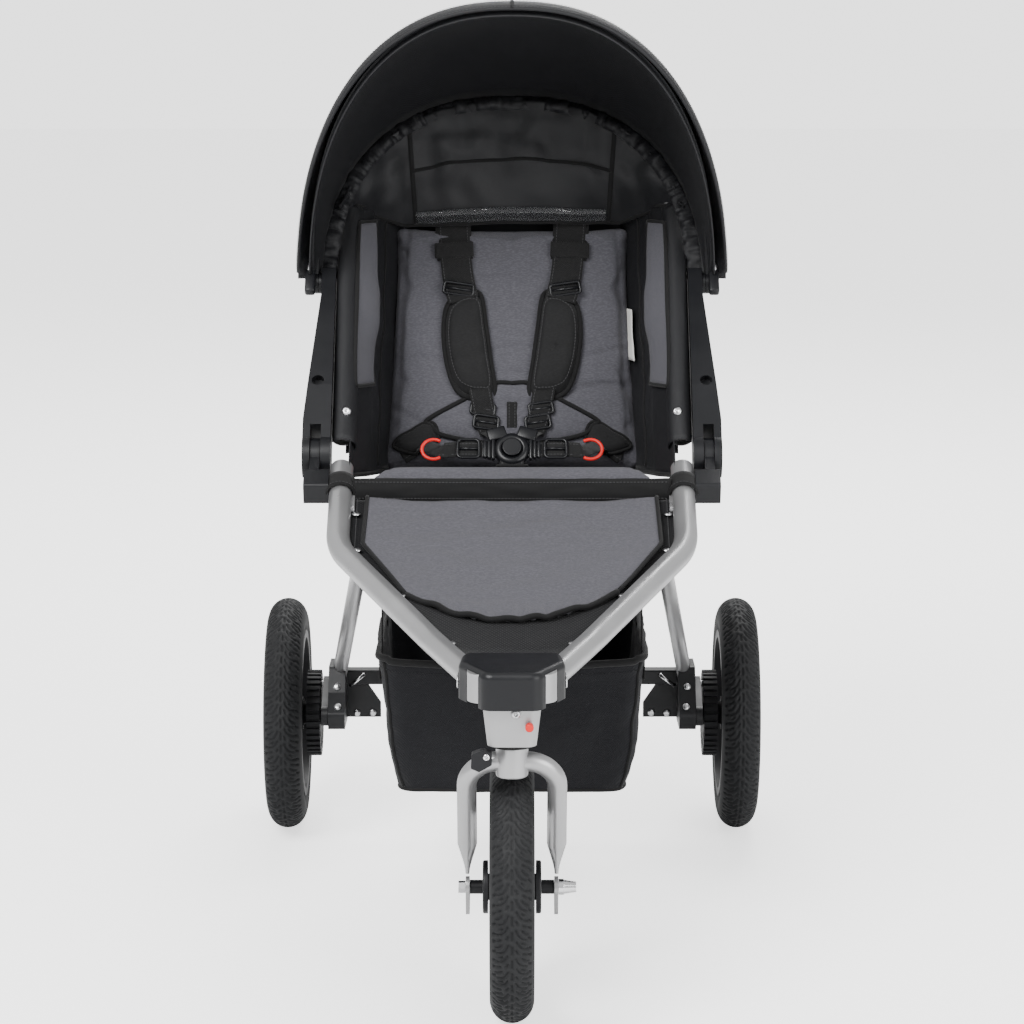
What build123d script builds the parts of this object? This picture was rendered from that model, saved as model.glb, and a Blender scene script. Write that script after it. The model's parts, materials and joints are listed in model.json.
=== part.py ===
"""Three-wheel all-terrain baby stroller with a fixed-width seat, folding handle frame and hooded canopy.

Frame: origin on the ground under the middle of the overall box, +Z up, -Y the way it rolls, +X the rider's left.
Every y below is written as front_axle_y plus a distance behind the front axle. Sizes are in millimetres.
"""

import math
import os

from build123d import *

os.makedirs("parts", exist_ok=True)

# ---- driving dimensions -------------------------------------------------------------------------------------
overall_length = 1150.0
wheelbase = 741.0
wheel_diameter = 305.0
tyre_width = 50.0
tyre_height = 52.0
tyre_wall = 5.0
rear_track = 595.0
trail = 75.0
tube_radius = 14.0
tube_wall = 1.6
side_tube_x = 207.0
upright_angle = 45.7
seat_width = 344.0
seat_thickness = 24.0
seat_board = 4.0
back_angle = 65.5
back_length = 500.0
back_thickness = 26.0
back_top_width = 292.0
fabric = 2.0
basket_wall = 3.0
grip_radius = 17.0
handle_radius = 11.0

# ---- clearances ---------------------------------------------------------------------------------------------
running = 0.05  # radial, shaft in bore
seat_gap = 0.3  # a piece on what carries it
side_gap = 0.5  # between plates that turn past each other

# ---- places -------------------------------------------------------------------------------------------------
wheel_radius = wheel_diameter / 2
front_axle_y = wheel_radius - overall_length / 2
rear_axle_y = front_axle_y + wheelbase
axle_z = wheel_radius
steer_y = front_axle_y - trail
fold_y, fold_z = front_axle_y + 432, 562.0
leg_pivot_y, leg_pivot_z = front_axle_y + 420, 480.0
crease_y, crease_z = front_axle_y + 617, 500.0
canopy_s = 260.0  # from the fold pivot along the upright to the canopy pivot
knuckle_s = 478.0  # from the fold pivot along the upright to the handle pivot


def along(s, n=0.0, x=0.0):
    """A point s up the line of the uprights from the fold pivot, and n above that line."""
    a = math.radians(upright_angle)
    return Vector(x, fold_y + s * math.cos(a) - n * math.sin(a), fold_z + s * math.sin(a) + n * math.cos(a))


def on_back(t, n=0.0, x=0.0):
    """A point t up the front face of the backrest from the crease, and n in front of that face."""
    a = math.radians(back_angle)
    return Vector(x, crease_y + t * math.cos(a) - n * math.sin(a), crease_z + t * math.sin(a) + n * math.cos(a))


def side(v):
    """A point's place in a side-view sketch on Plane.YZ."""
    return (v.Y, v.Z)


def write(solid, name):
    """Labels a finished piece and writes it to its own STEP file."""
    solid.label = name
    export_step(solid, f"parts/{name}.step")


def write_pair(solid, name):
    """Writes a left-hand piece and its mirror image."""
    write(solid, name + "_left")
    write(mirror(solid, about=Plane.YZ), name + "_right")


def write_both_sides(solid, name):
    """Writes a left-hand piece and its mirror image as separate solids of one node."""
    write(Compound([*solid.solids(), *mirror(solid, about=Plane.YZ).solids()]), name)


# ---- wheels: tyre, rim ---------------------------------------------------------------------------------------
rim_half_width = 22.0
rim_flange = 2.0
bead_radius = wheel_radius - tyre_height + 4
rim_hub_radius = 22.0
hub_bore = 15.0
spoke_count = 5
bead_half_gap = 13.0


def tyre_at(x, y):
    """An open tyre casing round an axle along X through (x, y, axle_z)."""
    with BuildPart() as tyre:
        with BuildSketch(Plane(origin=(x, y, axle_z), x_dir=(1, 0, 0), z_dir=(0, -1, 0))) as section:
            with Locations((0, wheel_radius - tyre_height / 2)):
                Ellipse(tyre_width / 2, tyre_height / 2)
                Ellipse(tyre_width / 2 - tyre_wall, tyre_height / 2 - tyre_wall, mode=Mode.SUBTRACT)
            with Locations((0, bead_radius - tyre_height / 2)):
                Rectangle(tyre_width, tyre_height, mode=Mode.SUBTRACT)
            with Locations((0, bead_radius)):
                Rectangle(2 * bead_half_gap, 4 * tyre_wall, mode=Mode.SUBTRACT)
        revolve(axis=Axis((x, y, axle_z), (1, 0, 0)))
    return tyre.part


def rim_at(x, y):
    """A moulded rim with a channel for the tyre, twin spokes and a boss with a bore for the hub."""
    seat = bead_radius - seat_gap
    outer = rim_half_width + rim_flange
    with BuildPart() as rim:
        with BuildSketch(Plane(origin=(x, y, axle_z), x_dir=(1, 0, 0), z_dir=(0, -1, 0))) as section:
            with BuildLine():
                Polyline(
                    (-outer, seat + 6), (-rim_half_width, seat + 6), (-rim_half_width, seat), (-10, seat),
                    (-7, seat - 6), (7, seat - 6), (10, seat), (rim_half_width, seat), (rim_half_width, seat + 6),
                    (outer, seat + 6), (outer, seat - 4), (12, seat - 5), (9, seat - 12), (-9, seat - 12),
                    (-12, seat - 5), (-outer, seat - 4), close=True,
                )
            make_face()
            with Locations((0, (rim_hub_radius + hub_bore + seat_gap) / 2)):
                Rectangle(40, rim_hub_radius - hub_bore - seat_gap)
        revolve(axis=Axis((x, y, axle_z), (1, 0, 0)))
        spoke_top = seat - 10
        with BuildSketch(Plane(origin=(x, y, axle_z), x_dir=(0, 1, 0), z_dir=(1, 0, 0))):
            with PolarLocations(0, spoke_count, 90):
                for turn in (-1, 1):
                    with BuildLine():
                        Polyline(
                            (rim_hub_radius - 3, turn * 2), (spoke_top, turn * 16), (spoke_top, turn * 26),
                            (rim_hub_radius - 3, turn * 13), close=True,
                        )
                    make_face()
        extrude(amount=6, both=True)
    return rim.part


# ---- front wheel -------------------------------------------------------------------------------------------
front_axle_radius = 5.0
front_hub_flange = 30.0
front_hub_half = 33.0
front_flange_width = 6.0
write(tyre_at(0, front_axle_y), "front_tyre")
write(rim_at(0, front_axle_y), "front_rim")
with BuildPart() as front_hub:
    with BuildSketch(Plane.YZ.offset(-front_hub_half)) as hub_face:
        with Locations((front_axle_y, axle_z)):
            Circle(front_hub_flange)
    extrude(amount=front_flange_width)
    with BuildSketch(Plane.YZ.offset(front_hub_half)) as hub_face_far:
        with Locations((front_axle_y, axle_z)):
            Circle(front_hub_flange)
    extrude(amount=-front_flange_width)
    fillet(front_hub.edges().filter_by(GeomType.CIRCLE).group_by(Axis.X)[-1], 2)
    fillet(front_hub.edges().filter_by(GeomType.CIRCLE).group_by(Axis.X)[0], 2)
    with BuildSketch(Plane.YZ.offset(-front_hub_half + 1)) as hub_barrel:
        with Locations((front_axle_y, axle_z)):
            Circle(hub_bore)
    extrude(amount=2 * front_hub_half - 2)
    with BuildSketch(Plane.YZ.offset(-front_hub_half)) as hub_hole:
        with Locations((front_axle_y, axle_z)):
            Circle(front_axle_radius + running)
    extrude(amount=2 * front_hub_half, mode=Mode.SUBTRACT)
write(front_hub.part, "front_hub")

# ---- fork, steering stem, axle -----------------------------------------------------------------------------
fork_half_width = 50.0
fork_leg_radius = 11.0
crown_radius = 18.0
crown_low, crown_high = 305.0, 341.0
stem_radius = 12.5
stem_top = 397.0
leg_bend = 34.0
leg_bend_z = 320.0
dropout_thick = 4.5
dropout_width = 24.0
leg_top = Vector(fork_half_width, steer_y, leg_bend_z)
leg_foot = Vector(fork_half_width, front_axle_y, axle_z)
leg_run = (leg_foot - leg_top).normalized()
flat_from = leg_foot - leg_run * 66
flat_to = leg_foot - leg_run * 30
latch_z = 325.0
latch_pin_radius = 2.5
with BuildPart() as fork:
    with BuildSketch(Plane.XY.offset(crown_low)) as crown_face:
        with Locations((0, steer_y)):
            Circle(crown_radius)
    extrude(amount=crown_high - crown_low)
    fillet(fork.edges().filter_by(GeomType.CIRCLE), 3)
    with BuildSketch(Plane.XY.offset(crown_high - 2)) as stem_face:
        with Locations((0, steer_y)):
            Circle(stem_radius)
    extrude(amount=stem_top - crown_high + 2)
    with BuildLine() as leg_path:
        FilletPolyline((4, steer_y, leg_bend_z + 2), leg_top, flat_from, radius=leg_bend)
    with BuildSketch(Plane(origin=leg_path.line @ 0, z_dir=leg_path.line % 0)) as leg_round:
        Circle(fork_leg_radius)
    sweep(path=leg_path.line)
    with BuildSketch(Plane(origin=flat_from, x_dir=(1, 0, 0), z_dir=leg_run)) as leg_end:
        Circle(fork_leg_radius)
    with BuildSketch(Plane(origin=flat_to, x_dir=(1, 0, 0), z_dir=leg_run)) as leg_flat:
        RectangleRounded(dropout_thick, dropout_width, 2)
    loft()
    dropout_plane = Plane(
        origin=leg_foot - Vector(dropout_thick / 2, 0, 0), x_dir=leg_run.cross(Vector(1, 0, 0)), z_dir=(1, 0, 0)
    )
    with BuildSketch(dropout_plane) as dropout:
        Circle(dropout_width / 2)
        with Locations((0, 15)):
            Rectangle(dropout_width, 32)
        Circle(front_axle_radius + running, mode=Mode.SUBTRACT)
    extrude(amount=dropout_thick)
    mirror(about=Plane.YZ)
    with BuildSketch(Plane.XZ.offset(-(steer_y - 6))) as latch_lug:
        with Locations((-32, latch_z)):
            RectangleRounded(14, 14, 3)
    extrude(amount=13)
    with BuildSketch(Plane.XZ.offset(-(steer_y - 5))) as latch_bore:
        with Locations((-32, latch_z)):
            Circle(latch_pin_radius + running)
    extrude(amount=16, mode=Mode.SUBTRACT)
write(fork.part, "fork")

seal_low, seal_high = crown_high + seat_gap, 346.0 - seat_gap
with BuildPart() as head_seal:
    with BuildSketch(Plane.XY.offset(seal_low)) as seal_face:
        with Locations((0, steer_y)):
            Circle(26)
            Circle(stem_radius + running, mode=Mode.SUBTRACT)
    extrude(amount=seal_high - seal_low)
write(head_seal.part, "head_seal")

axle_left, axle_right = 66.0, 56.0
with BuildPart() as front_axle:
    with BuildSketch(Plane.YZ.offset(-axle_right)) as axle_face:
        with Locations((front_axle_y, axle_z)):
            Circle(front_axle_radius)
    extrude(amount=axle_right + axle_left)
write(front_axle.part, "front_axle")

dropout_inner = fork_half_width - dropout_thick / 2
with BuildPart() as axle_spacer:
    with BuildSketch(Plane.YZ.offset(front_hub_half + seat_gap)) as spacer_face:
        with Locations((front_axle_y, axle_z)):
            Circle(8)
            Circle(front_axle_radius + running, mode=Mode.SUBTRACT)
    extrude(amount=dropout_inner - front_hub_half - 2 * seat_gap)
write_both_sides(axle_spacer.part, "front_axle_spacers")

dropout_outer = fork_half_width + dropout_thick / 2
with BuildPart() as axle_nut:
    with BuildSketch(Plane.YZ.offset(-dropout_outer - seat_gap)) as nut_face:
        with Locations((front_axle_y, axle_z)):
            RegularPolygon(7, 6)
            Circle(front_axle_radius + running, mode=Mode.SUBTRACT)
    extrude(amount=-8)
write(axle_nut.part, "front_axle_nut")
with BuildPart() as axle_knob:
    with BuildSketch(Plane.YZ.offset(dropout_outer + seat_gap)) as knob_face:
        with Locations((front_axle_y, axle_z)):
            Circle(9)
    extrude(amount=6)
    with BuildSketch(Plane.YZ.offset(dropout_outer + seat_gap + 6)) as knob_nose:
        with Locations((front_axle_y, axle_z)):
            Circle(8)
    extrude(amount=14, taper=9)
    with BuildSketch(Plane.YZ.offset(dropout_outer + seat_gap)) as knob_hole:
        with Locations((front_axle_y, axle_z)):
            Circle(front_axle_radius + running)
    extrude(amount=axle_left - dropout_outer - seat_gap + 1, mode=Mode.SUBTRACT)
write(axle_knob.part, "front_axle_knob")

# ---- head block, its cover and small parts -----------------------------------------------------------------
block_low, block_mid, block_high = 346.0, 396.0, 428.0
knob_z = 371.0
knob_stem_radius = 2.5
cover_low, cover_high = 391.0, 433.0
tube_start = Vector(47, front_axle_y - 44, 411.5)
tube_low = Vector(90, front_axle_y + 70, 420.0)
tube_knee = Vector(side_tube_x, front_axle_y + 275, 482.0)
knee_bend = 100.0
hinge_clear = 24.0  # tube ends stop this far from the fold pivot
tube_slope = math.degrees(math.atan2(fold_z - tube_knee.Z, fold_y - tube_knee.Y))
with BuildPart() as head_block:
    with BuildSketch(Plane.XY.offset(block_low)) as barrel_low:
        with Locations((0, steer_y - 2)):
            RectangleRounded(54, 58, 12)
    with BuildSketch(Plane.XY.offset(block_mid + 2)) as barrel_high:
        with Locations((0, steer_y)):
            RectangleRounded(66, 70, 12)
    loft()
    with BuildSketch(Plane.XY.offset(block_mid)) as shelf:
        with Locations((0, steer_y + 8)):
            RectangleRounded(98, 84, 18)
    extrude(amount=block_high - block_mid)
    with BuildSketch(Plane.XY.offset(block_low)) as stem_bore:
        with Locations((0, steer_y)):
            Circle(stem_radius + running)
    extrude(amount=stem_top + 4 - block_low, mode=Mode.SUBTRACT)
    with BuildSketch(Plane(origin=(19, steer_y - 22, knob_z), x_dir=(1, 0, 0), z_dir=(0, -1, 0))) as knob_bore:
        Circle(knob_stem_radius + running)
    extrude(amount=20, mode=Mode.SUBTRACT)


def on_tube(s, n=0.0, x=0.0):
    """A point s down the line of the frame tube from the fold pivot, and n above that line."""
    a = math.radians(tube_slope)
    return Vector(x, fold_y - s * math.cos(a) - n * math.sin(a), fold_z - s * math.sin(a) + n * math.cos(a))


def tube_line(clear):
    """The centre line of the left frame tube, from the head to short of the fold pivot."""
    with BuildLine() as line:
        FilletPolyline(tube_start, tube_low, tube_knee, on_tube(clear, 0, side_tube_x), radius=knee_bend)
    return line.line


def tube_solid(radius):
    """The left frame tube's outer shape at a radius."""
    path = tube_line(hinge_clear)
    with BuildPart() as tube:
        with BuildSketch(Plane(origin=path @ 0, z_dir=path % 0)) as tube_face:
            Circle(radius)
        sweep(path=path)
    return tube.part


socket = tube_solid(tube_radius + seat_gap)
with BuildPart() as head_block_bored:
    add(head_block.part)
    add(socket, mode=Mode.SUBTRACT)
    add(mirror(socket, about=Plane.YZ), mode=Mode.SUBTRACT)
write(head_block_bored.part, "head_block")

with BuildPart() as head_cover:
    with BuildSketch(Plane.XY.offset(cover_low)) as cover_plan:
        with BuildLine():
            Polyline(
                (-55, steer_y + 52), (55, steer_y + 52), (59, steer_y + 8),
                (30, steer_y - 46), (-30, steer_y - 46),
                (-59, steer_y + 8), close=True,
            )
        make_face()
        fillet(cover_plan.vertices(), 15)
    extrude(amount=cover_high - cover_low)
    fillet(head_cover.edges().group_by(Axis.Z)[-1], 8)
    with BuildSketch(Plane.XY.offset(cover_low)) as cover_room:
        with Locations((0, steer_y + 8)):
            RectangleRounded(98 + 2 * seat_gap, 84 + 2 * seat_gap, 18 + seat_gap)
        with Locations((0, steer_y)):
            RectangleRounded(68, 73, 12)
    extrude(amount=block_high + seat_gap - cover_low, mode=Mode.SUBTRACT)
    add(socket, mode=Mode.SUBTRACT)
    add(mirror(socket, about=Plane.YZ), mode=Mode.SUBTRACT)
    with Locations(Location((59, steer_y + 16, 408), (0, 90, 0)), Location((-59, steer_y + 16, 408), (0, 90, 0))):
        Cylinder(5, 8, mode=Mode.SUBTRACT)
write(head_cover.part, "head_cover")

with BuildPart() as tracking_knob:
    with BuildSketch(Plane(origin=(19, steer_y - 36, knob_z), x_dir=(1, 0, 0), z_dir=(0, -1, 0))) as knob_round:
        Circle(4.6)
    extrude(amount=8)
    fillet(tracking_knob.edges().group_by(Axis.Y)[0], 1.5)
    with BuildSketch(Plane(origin=(19, steer_y - 24, knob_z), x_dir=(1, 0, 0), z_dir=(0, -1, 0))) as knob_stem:
        Circle(knob_stem_radius)
    extrude(amount=13)
write(tracking_knob.part, "tracking_knob")

with BuildPart() as swivel_latch:
    with BuildSketch(Plane.XZ.offset(-(steer_y - 19 - seat_gap))) as latch_face:
        with BuildLine():
            Polyline((-22, 326), (-22, 340), (-34, 342), (-44, 338), (-45, 322), (-36, 318), close=True)
        make_face()
        fillet(latch_face.vertices(), 2)
    extrude(amount=12)
    with BuildSketch(Plane.XZ.offset(-(steer_y - 10))) as latch_pin:
        with Locations((-32, latch_z)):
            Circle(latch_pin_radius)
    extrude(amount=12)
write(swivel_latch.part, "swivel_latch")

# ---- front frame tubes -------------------------------------------------------------------------------------
lug_x0, lug_x1 = 189.5, 196.0
leg_pin_radius = 4.0
with BuildPart() as front_tube:
    add(tube_solid(tube_radius))
    add(tube_solid(tube_radius - tube_wall), mode=Mode.SUBTRACT)
    with BuildSketch(Plane.YZ.offset(lug_x0)) as lug:
        with BuildLine():
            Polyline(
                (leg_pivot_y + 12, leg_pivot_z - 12), (leg_pivot_y + 12, leg_pivot_z + 12),
                side(on_tube(44)), side(on_tube(98)), (leg_pivot_y - 75, leg_pivot_z + 3), close=True,
            )
        make_face()
        fillet(lug.vertices().sort_by(Axis.X)[-2:], 11)
    extrude(amount=lug_x1 - lug_x0)
    with BuildSketch(Plane.YZ.offset(lug_x0 - 1)) as lug_hole:
        with Locations((leg_pivot_y, leg_pivot_z)):
            Circle(leg_pin_radius + running)
    extrude(amount=10, mode=Mode.SUBTRACT)
write_pair(front_tube.part, "front_tube")

# ---- fold hinges: lower housing, pins ----------------------------------------------------------------------
housing_in, housing_out = side_tube_x + tube_radius + seat_gap, 252.0
tongue_in, tongue_out = 234.0, 246.0
hinge_radius = 26.0
tongue_radius = 22.0
fold_pin_radius = 6.0
with BuildPart() as fold_housing:
    with BuildSketch(Plane.YZ.offset(housing_in)) as housing_side:
        with BuildLine():
            Polyline(
                side(on_tube(78, -14)), side(on_tube(74, 14)), side(on_tube(40, 14)), side(on_tube(40, -15)),
                close=True,
            )
        make_face()
        fillet(housing_side.vertices(), 5)
    extrude(amount=housing_out - housing_in)
    with BuildSketch(Plane.YZ.offset(tongue_in)) as tongue:
        with Locations((fold_y, fold_z)):
            Circle(tongue_radius)
        with BuildLine():
            Polyline(
                side(on_tube(46, -13)), side(on_tube(46, 13)), side(on_tube(0, 13)), side(on_tube(0, -13)), close=True
            )
        make_face()
        with Locations((fold_y, fold_z)):
            Circle(fold_pin_radius + running, mode=Mode.SUBTRACT)
    extrude(amount=tongue_out - tongue_in)
write_pair(fold_housing.part, "fold_housing")

leg_pin_in = 168.0
with BuildPart() as frame_pin:
    with BuildSketch(Plane.YZ.offset(223.0)) as fold_pin_face:
        with Locations((fold_y, fold_z)):
            Circle(fold_pin_radius)
    extrude(amount=30)
    with BuildSketch(Plane.YZ.offset(leg_pin_in)) as leg_pin_face:
        with Locations((leg_pivot_y, leg_pivot_z)):
            Circle(leg_pin_radius)
    extrude(amount=lug_x1 + 1 - leg_pin_in)
write_both_sides(frame_pin.part, "frame_pins")

# ---- upper frame: uprights, hinge arms ---------------------------------------------------------------------
knuckle_radius = 20.0
knuckle_split = side_tube_x + 1.0
knuckle_pin_radius = 5.0
knuckle = along(knuckle_s)
with BuildPart() as upright:
    lower_end, upper_end = along(hinge_clear, 0, side_tube_x), along(knuckle_s - 12, 0, side_tube_x)
    with BuildSketch(Plane(origin=lower_end, z_dir=upper_end - lower_end)) as upright_face:
        Circle(tube_radius)
    extrude(amount=(upper_end - lower_end).length)
    with BuildSketch(Plane(origin=lower_end, z_dir=upper_end - lower_end)) as upright_inside:
        Circle(tube_radius - tube_wall)
    extrude(amount=(upper_end - lower_end).length - 2 * knuckle_radius, mode=Mode.SUBTRACT)
    with BuildSketch(Plane.YZ.offset(side_tube_x - tube_radius + 1.5)) as knuckle_in:
        with Locations(side(knuckle)):
            Circle(knuckle_radius)
    extrude(amount=knuckle_split - side_tube_x + tube_radius - 1.5)
    with BuildSketch(Plane.YZ.offset(knuckle_split)) as knuckle_room:
        with Locations(side(knuckle)):
            Circle(knuckle_radius + 2)
    extrude(amount=2 * tube_radius, mode=Mode.SUBTRACT)
    with BuildSketch(Plane.YZ.offset(side_tube_x - tube_radius - 1)) as knuckle_hole:
        with Locations(side(knuckle)):
            Circle(knuckle_pin_radius + running)
    extrude(amount=2 * tube_radius, mode=Mode.SUBTRACT)
write_pair(upright.part, "upright")

arm_top_s = 273.0
arm_low_out, arm_top_out = 256.0, 239.2
fork_depth = 32.0
canopy_pin_radius = 4.0
recess_radius = 7.5
slope_out = along(0, 1) - along(0)
with BuildPart() as upper_arm:
    with BuildSketch(Plane.YZ.offset(housing_in)) as arm_side:
        with Locations((fold_y, fold_z)):
            Circle(hinge_radius)
        with BuildLine():
            Polyline(
                side(along(8, -20)), side(along(0, 22)), side(along(90, 25)), side(along(arm_top_s, 15)),
                side(along(arm_top_s, -15)), side(along(120, -20)), close=True,
            )
        make_face()
    extrude(amount=arm_low_out - housing_in)
    with BuildSketch(Plane(origin=along(0, -60), x_dir=(1, 0, 0), z_dir=slope_out)) as arm_taper:
        with BuildLine():
            Polyline(
                (arm_low_out, 40), (arm_low_out + 20, 40), (arm_low_out + 20, arm_top_s + 10),
                (arm_top_out, arm_top_s + 10), (arm_top_out, canopy_s - 30), close=True,
            )
        make_face()
    extrude(amount=120, mode=Mode.SUBTRACT)
    with BuildSketch(Plane.YZ.offset(tongue_in - side_gap)) as fork_slot:
        with Locations((fold_y, fold_z)):
            Circle(hinge_radius + 4)
        with BuildLine():
            Polyline(
                side(along(0, -30)), side(along(0, 30)),
                side(along(fork_depth, 30)), side(along(fork_depth, -30)),
                close=True,
            )
        make_face()
    extrude(amount=tongue_out - tongue_in + 2 * side_gap, mode=Mode.SUBTRACT)
    with BuildSketch(Plane.YZ.offset(housing_in)) as arm_hole:
        with Locations((fold_y, fold_z)):
            Circle(fold_pin_radius + running)
    extrude(amount=50, mode=Mode.SUBTRACT)
    with BuildSketch(Plane(origin=along(96, 14, 239), x_dir=(1, 0, 0), z_dir=slope_out)) as recess:
        Circle(recess_radius)
    extrude(amount=20, mode=Mode.SUBTRACT)
    with BuildSketch(Plane.YZ.offset(housing_in + 6)) as canopy_hole:
        with Locations(side(along(canopy_s))):
            Circle(canopy_pin_radius + running)
    extrude(amount=40, mode=Mode.SUBTRACT)
write_pair(upper_arm.part, "upper_arm")

# ---- side panels of the seat -------------------------------------------------------------------------------
panel_in, panel_out = 176.0, 179.0
panel_front = [along(26, -6), along(230, -6), along(430, -8)]
panel_back = [on_back(380, -2), on_back(60, 4), on_tube(-160, -58)]
with BuildPart() as side_panel:
    with BuildSketch(Plane.YZ.offset(panel_in)) as panel_face:
        with BuildLine():
            Polyline(*[side(p) for p in panel_front + panel_back], close=True)
        make_face()
        fillet(panel_face.vertices(), 8)
    extrude(amount=panel_out - panel_in)
    with BuildSketch(Plane.YZ.offset(panel_in)) as hem:
        with BuildLine():
            Polyline(
                side(along(40, -6)), side(along(40, 6)), side(along(420, 6)), side(along(420, -8)), close=True,
            )
        make_face()
    extrude(amount=side_tube_x - tube_radius - seat_gap - panel_in)
write_pair(side_panel.part, "side_panel")

# ---- handlebar ---------------------------------------------------------------------------------------------
grip_y = front_axle_y + overall_length - wheel_radius - grip_radius
grip_z = 925.0
corner_radius = 55.0
grip_half = 138.0
bar_x = side_tube_x + 1.0
bar_run = Vector(0, grip_y - knuckle.Y, grip_z - knuckle.Z).normalized()
bar_start = Vector(bar_x, knuckle.Y, knuckle.Z) + bar_run * (knuckle_radius + 6)
with BuildPart() as handlebar:
    with BuildLine() as bar_path:
        FilletPolyline(
            bar_start, (bar_x, grip_y, grip_z), (-bar_x, grip_y, grip_z),
            Vector(-bar_start.X, bar_start.Y, bar_start.Z), radius=corner_radius,
        )
    with BuildSketch(Plane(origin=bar_path.line @ 0, z_dir=bar_path.line % 0)) as bar_face:
        Circle(handle_radius)
    sweep(path=bar_path.line)
    with BuildSketch(Plane.YZ.offset(knuckle_split + side_gap)) as bar_knuckle:
        with Locations(side(knuckle)):
            Circle(knuckle_radius)
        with Locations(Location((*side(knuckle + bar_run * 20), 0), (0, 0, math.degrees(math.asin(bar_run.Z))))):
            Rectangle(40, 20)
    extrude(amount=11)
    with BuildSketch(Plane.YZ.offset(side_tube_x - tube_radius + 1)) as bar_pin:
        with Locations(side(knuckle)):
            Circle(knuckle_pin_radius)
    extrude(amount=20)
    with BuildSketch(Plane.YZ.offset(-knuckle_split - side_gap)) as bar_knuckle_far:
        with Locations(side(knuckle)):
            Circle(knuckle_radius)
        with Locations(Location((*side(knuckle + bar_run * 20), 0), (0, 0, math.degrees(math.asin(bar_run.Z))))):
            Rectangle(40, 20)
    extrude(amount=-11)
    with BuildSketch(Plane.YZ.offset(-side_tube_x + tube_radius - 1)) as bar_pin_far:
        with Locations(side(knuckle)):
            Circle(knuckle_pin_radius)
    extrude(amount=-20)
write(handlebar.part, "handlebar")

with BuildPart() as handle_grip:
    with BuildSketch(Plane.YZ.offset(-grip_half)) as grip_face:
        with Locations((grip_y, grip_z)):
            Circle(grip_radius)
    extrude(amount=2 * grip_half)
    fillet(handle_grip.edges(), 5)
    with BuildSketch(Plane.YZ.offset(-grip_half)) as grip_bore:
        with Locations((grip_y, grip_z)):
            Circle(handle_radius + running)
    extrude(amount=2 * grip_half, mode=Mode.SUBTRACT)
write(handle_grip.part, "handle_grip")

# ---- canopy: three hoops on one pair of pins, and the cover between them -------------------------------------
hoop_thick = 4.0
hoop_width = 10.0
hoop_gap = 0.5
hoop_disc = 13.0
hoop_power = 2.3
hoop_start = 4.0
hoop_foot = 6.0
hub_inner = arm_top_out + seat_gap
rear_half = hub_inner + hoop_thick
middle_half = rear_half + hoop_gap + hoop_thick
front_half = middle_half + hoop_gap + hoop_thick
rear_angle, middle_angle, front_angle = 61.0, 87.2, 120.3
rear_reach, middle_reach, front_reach = 260.0, 337.4, 420.0
canopy_y, canopy_z = along(canopy_s).Y, along(canopy_s).Z


def arch(half, reach, start, steps=16):
    """Points of a squarish half-oval from one side to the other, beginning start degrees above its ends."""
    points = []
    for i in range(steps + 1):
        a = math.radians(start + (180 - 2 * start) * i / steps)
        across = math.copysign(abs(math.cos(a)) ** (2 / hoop_power), math.cos(a))
        points.append((half * across, reach * math.sin(a) ** (2 / hoop_power)))
    return points


def hoop_plane(angle):
    """The plane of a hoop that leans at an angle above the line straight back."""
    a = math.radians(angle)
    return Plane(origin=(0, canopy_y, canopy_z), x_dir=(1, 0, 0), z_dir=(0, -math.sin(a), math.cos(a)))


def hoop(half, reach, angle):
    """A flat hoop with a drilled disc at each end."""
    inner = half - hoop_thick
    with BuildPart() as part:
        with BuildSketch(hoop_plane(angle)) as flat:
            with BuildLine():
                outside = Spline(*arch(half, reach, hoop_start))
                inside = Spline(*arch(inner, reach - hoop_thick, hoop_start))
                Polyline(outside @ 0, (half, hoop_foot), (inner, hoop_foot), inside @ 0)
                Polyline(outside @ 1, (-half, hoop_foot), (-inner, hoop_foot), inside @ 1)
            make_face()
        extrude(amount=hoop_width / 2, both=True)
        with BuildSketch(Plane.YZ.offset(inner)) as disc:
            with Locations((canopy_y, canopy_z)):
                Circle(hoop_disc)
        extrude(amount=hoop_thick)
        with BuildSketch(Plane.YZ.offset(-half)) as disc_far:
            with Locations((canopy_y, canopy_z)):
                Circle(hoop_disc)
        extrude(amount=hoop_thick)
        with BuildSketch(Plane.YZ.offset(-half - 1)) as hoop_bore:
            with Locations((canopy_y, canopy_z)):
                Circle(canopy_pin_radius + running)
        extrude(amount=2 * half + 2, mode=Mode.SUBTRACT)
    return part.part


write(hoop(rear_half, rear_reach, rear_angle), "canopy_rear_hoop")
write(hoop(middle_half, middle_reach, middle_angle), "canopy_middle_hoop")
write(hoop(front_half, front_reach, front_angle), "canopy_front_hoop")

with BuildPart() as canopy_pin:
    with BuildSketch(Plane.YZ.offset(housing_in + 7)) as pin_round:
        with Locations((canopy_y, canopy_z)):
            Circle(canopy_pin_radius)
    extrude(amount=front_half + seat_gap + 2 - housing_in - 7)
    with BuildSketch(Plane.YZ.offset(front_half + seat_gap)) as pin_head:
        with Locations((canopy_y, canopy_z)):
            Circle(9)
    extrude(amount=4)
write_both_sides(canopy_pin.part, "canopy_pins")


def cover(start, end, lift):
    """A cloth panel lofted from the outside of one hoop to the outside of the next, lifted off the second."""
    faces = []
    for (half, reach, angle), rise in ((start, 0), (end, lift)):
        with BuildSketch(hoop_plane(angle)) as band:
            with BuildLine():
                inner = Spline(*arch(half + seat_gap + rise / 3, reach + seat_gap + rise, 14))
                outer = Spline(*arch(half + seat_gap + rise / 3 + fabric, reach + seat_gap + rise + fabric, 14))
                Line(inner @ 0, outer @ 0)
                Line(inner @ 1, outer @ 1)
            make_face()
        faces.append(band.sketch)
    with BuildPart() as panel:
        loft(sections=faces, ruled=True)
    return panel.part


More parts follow.
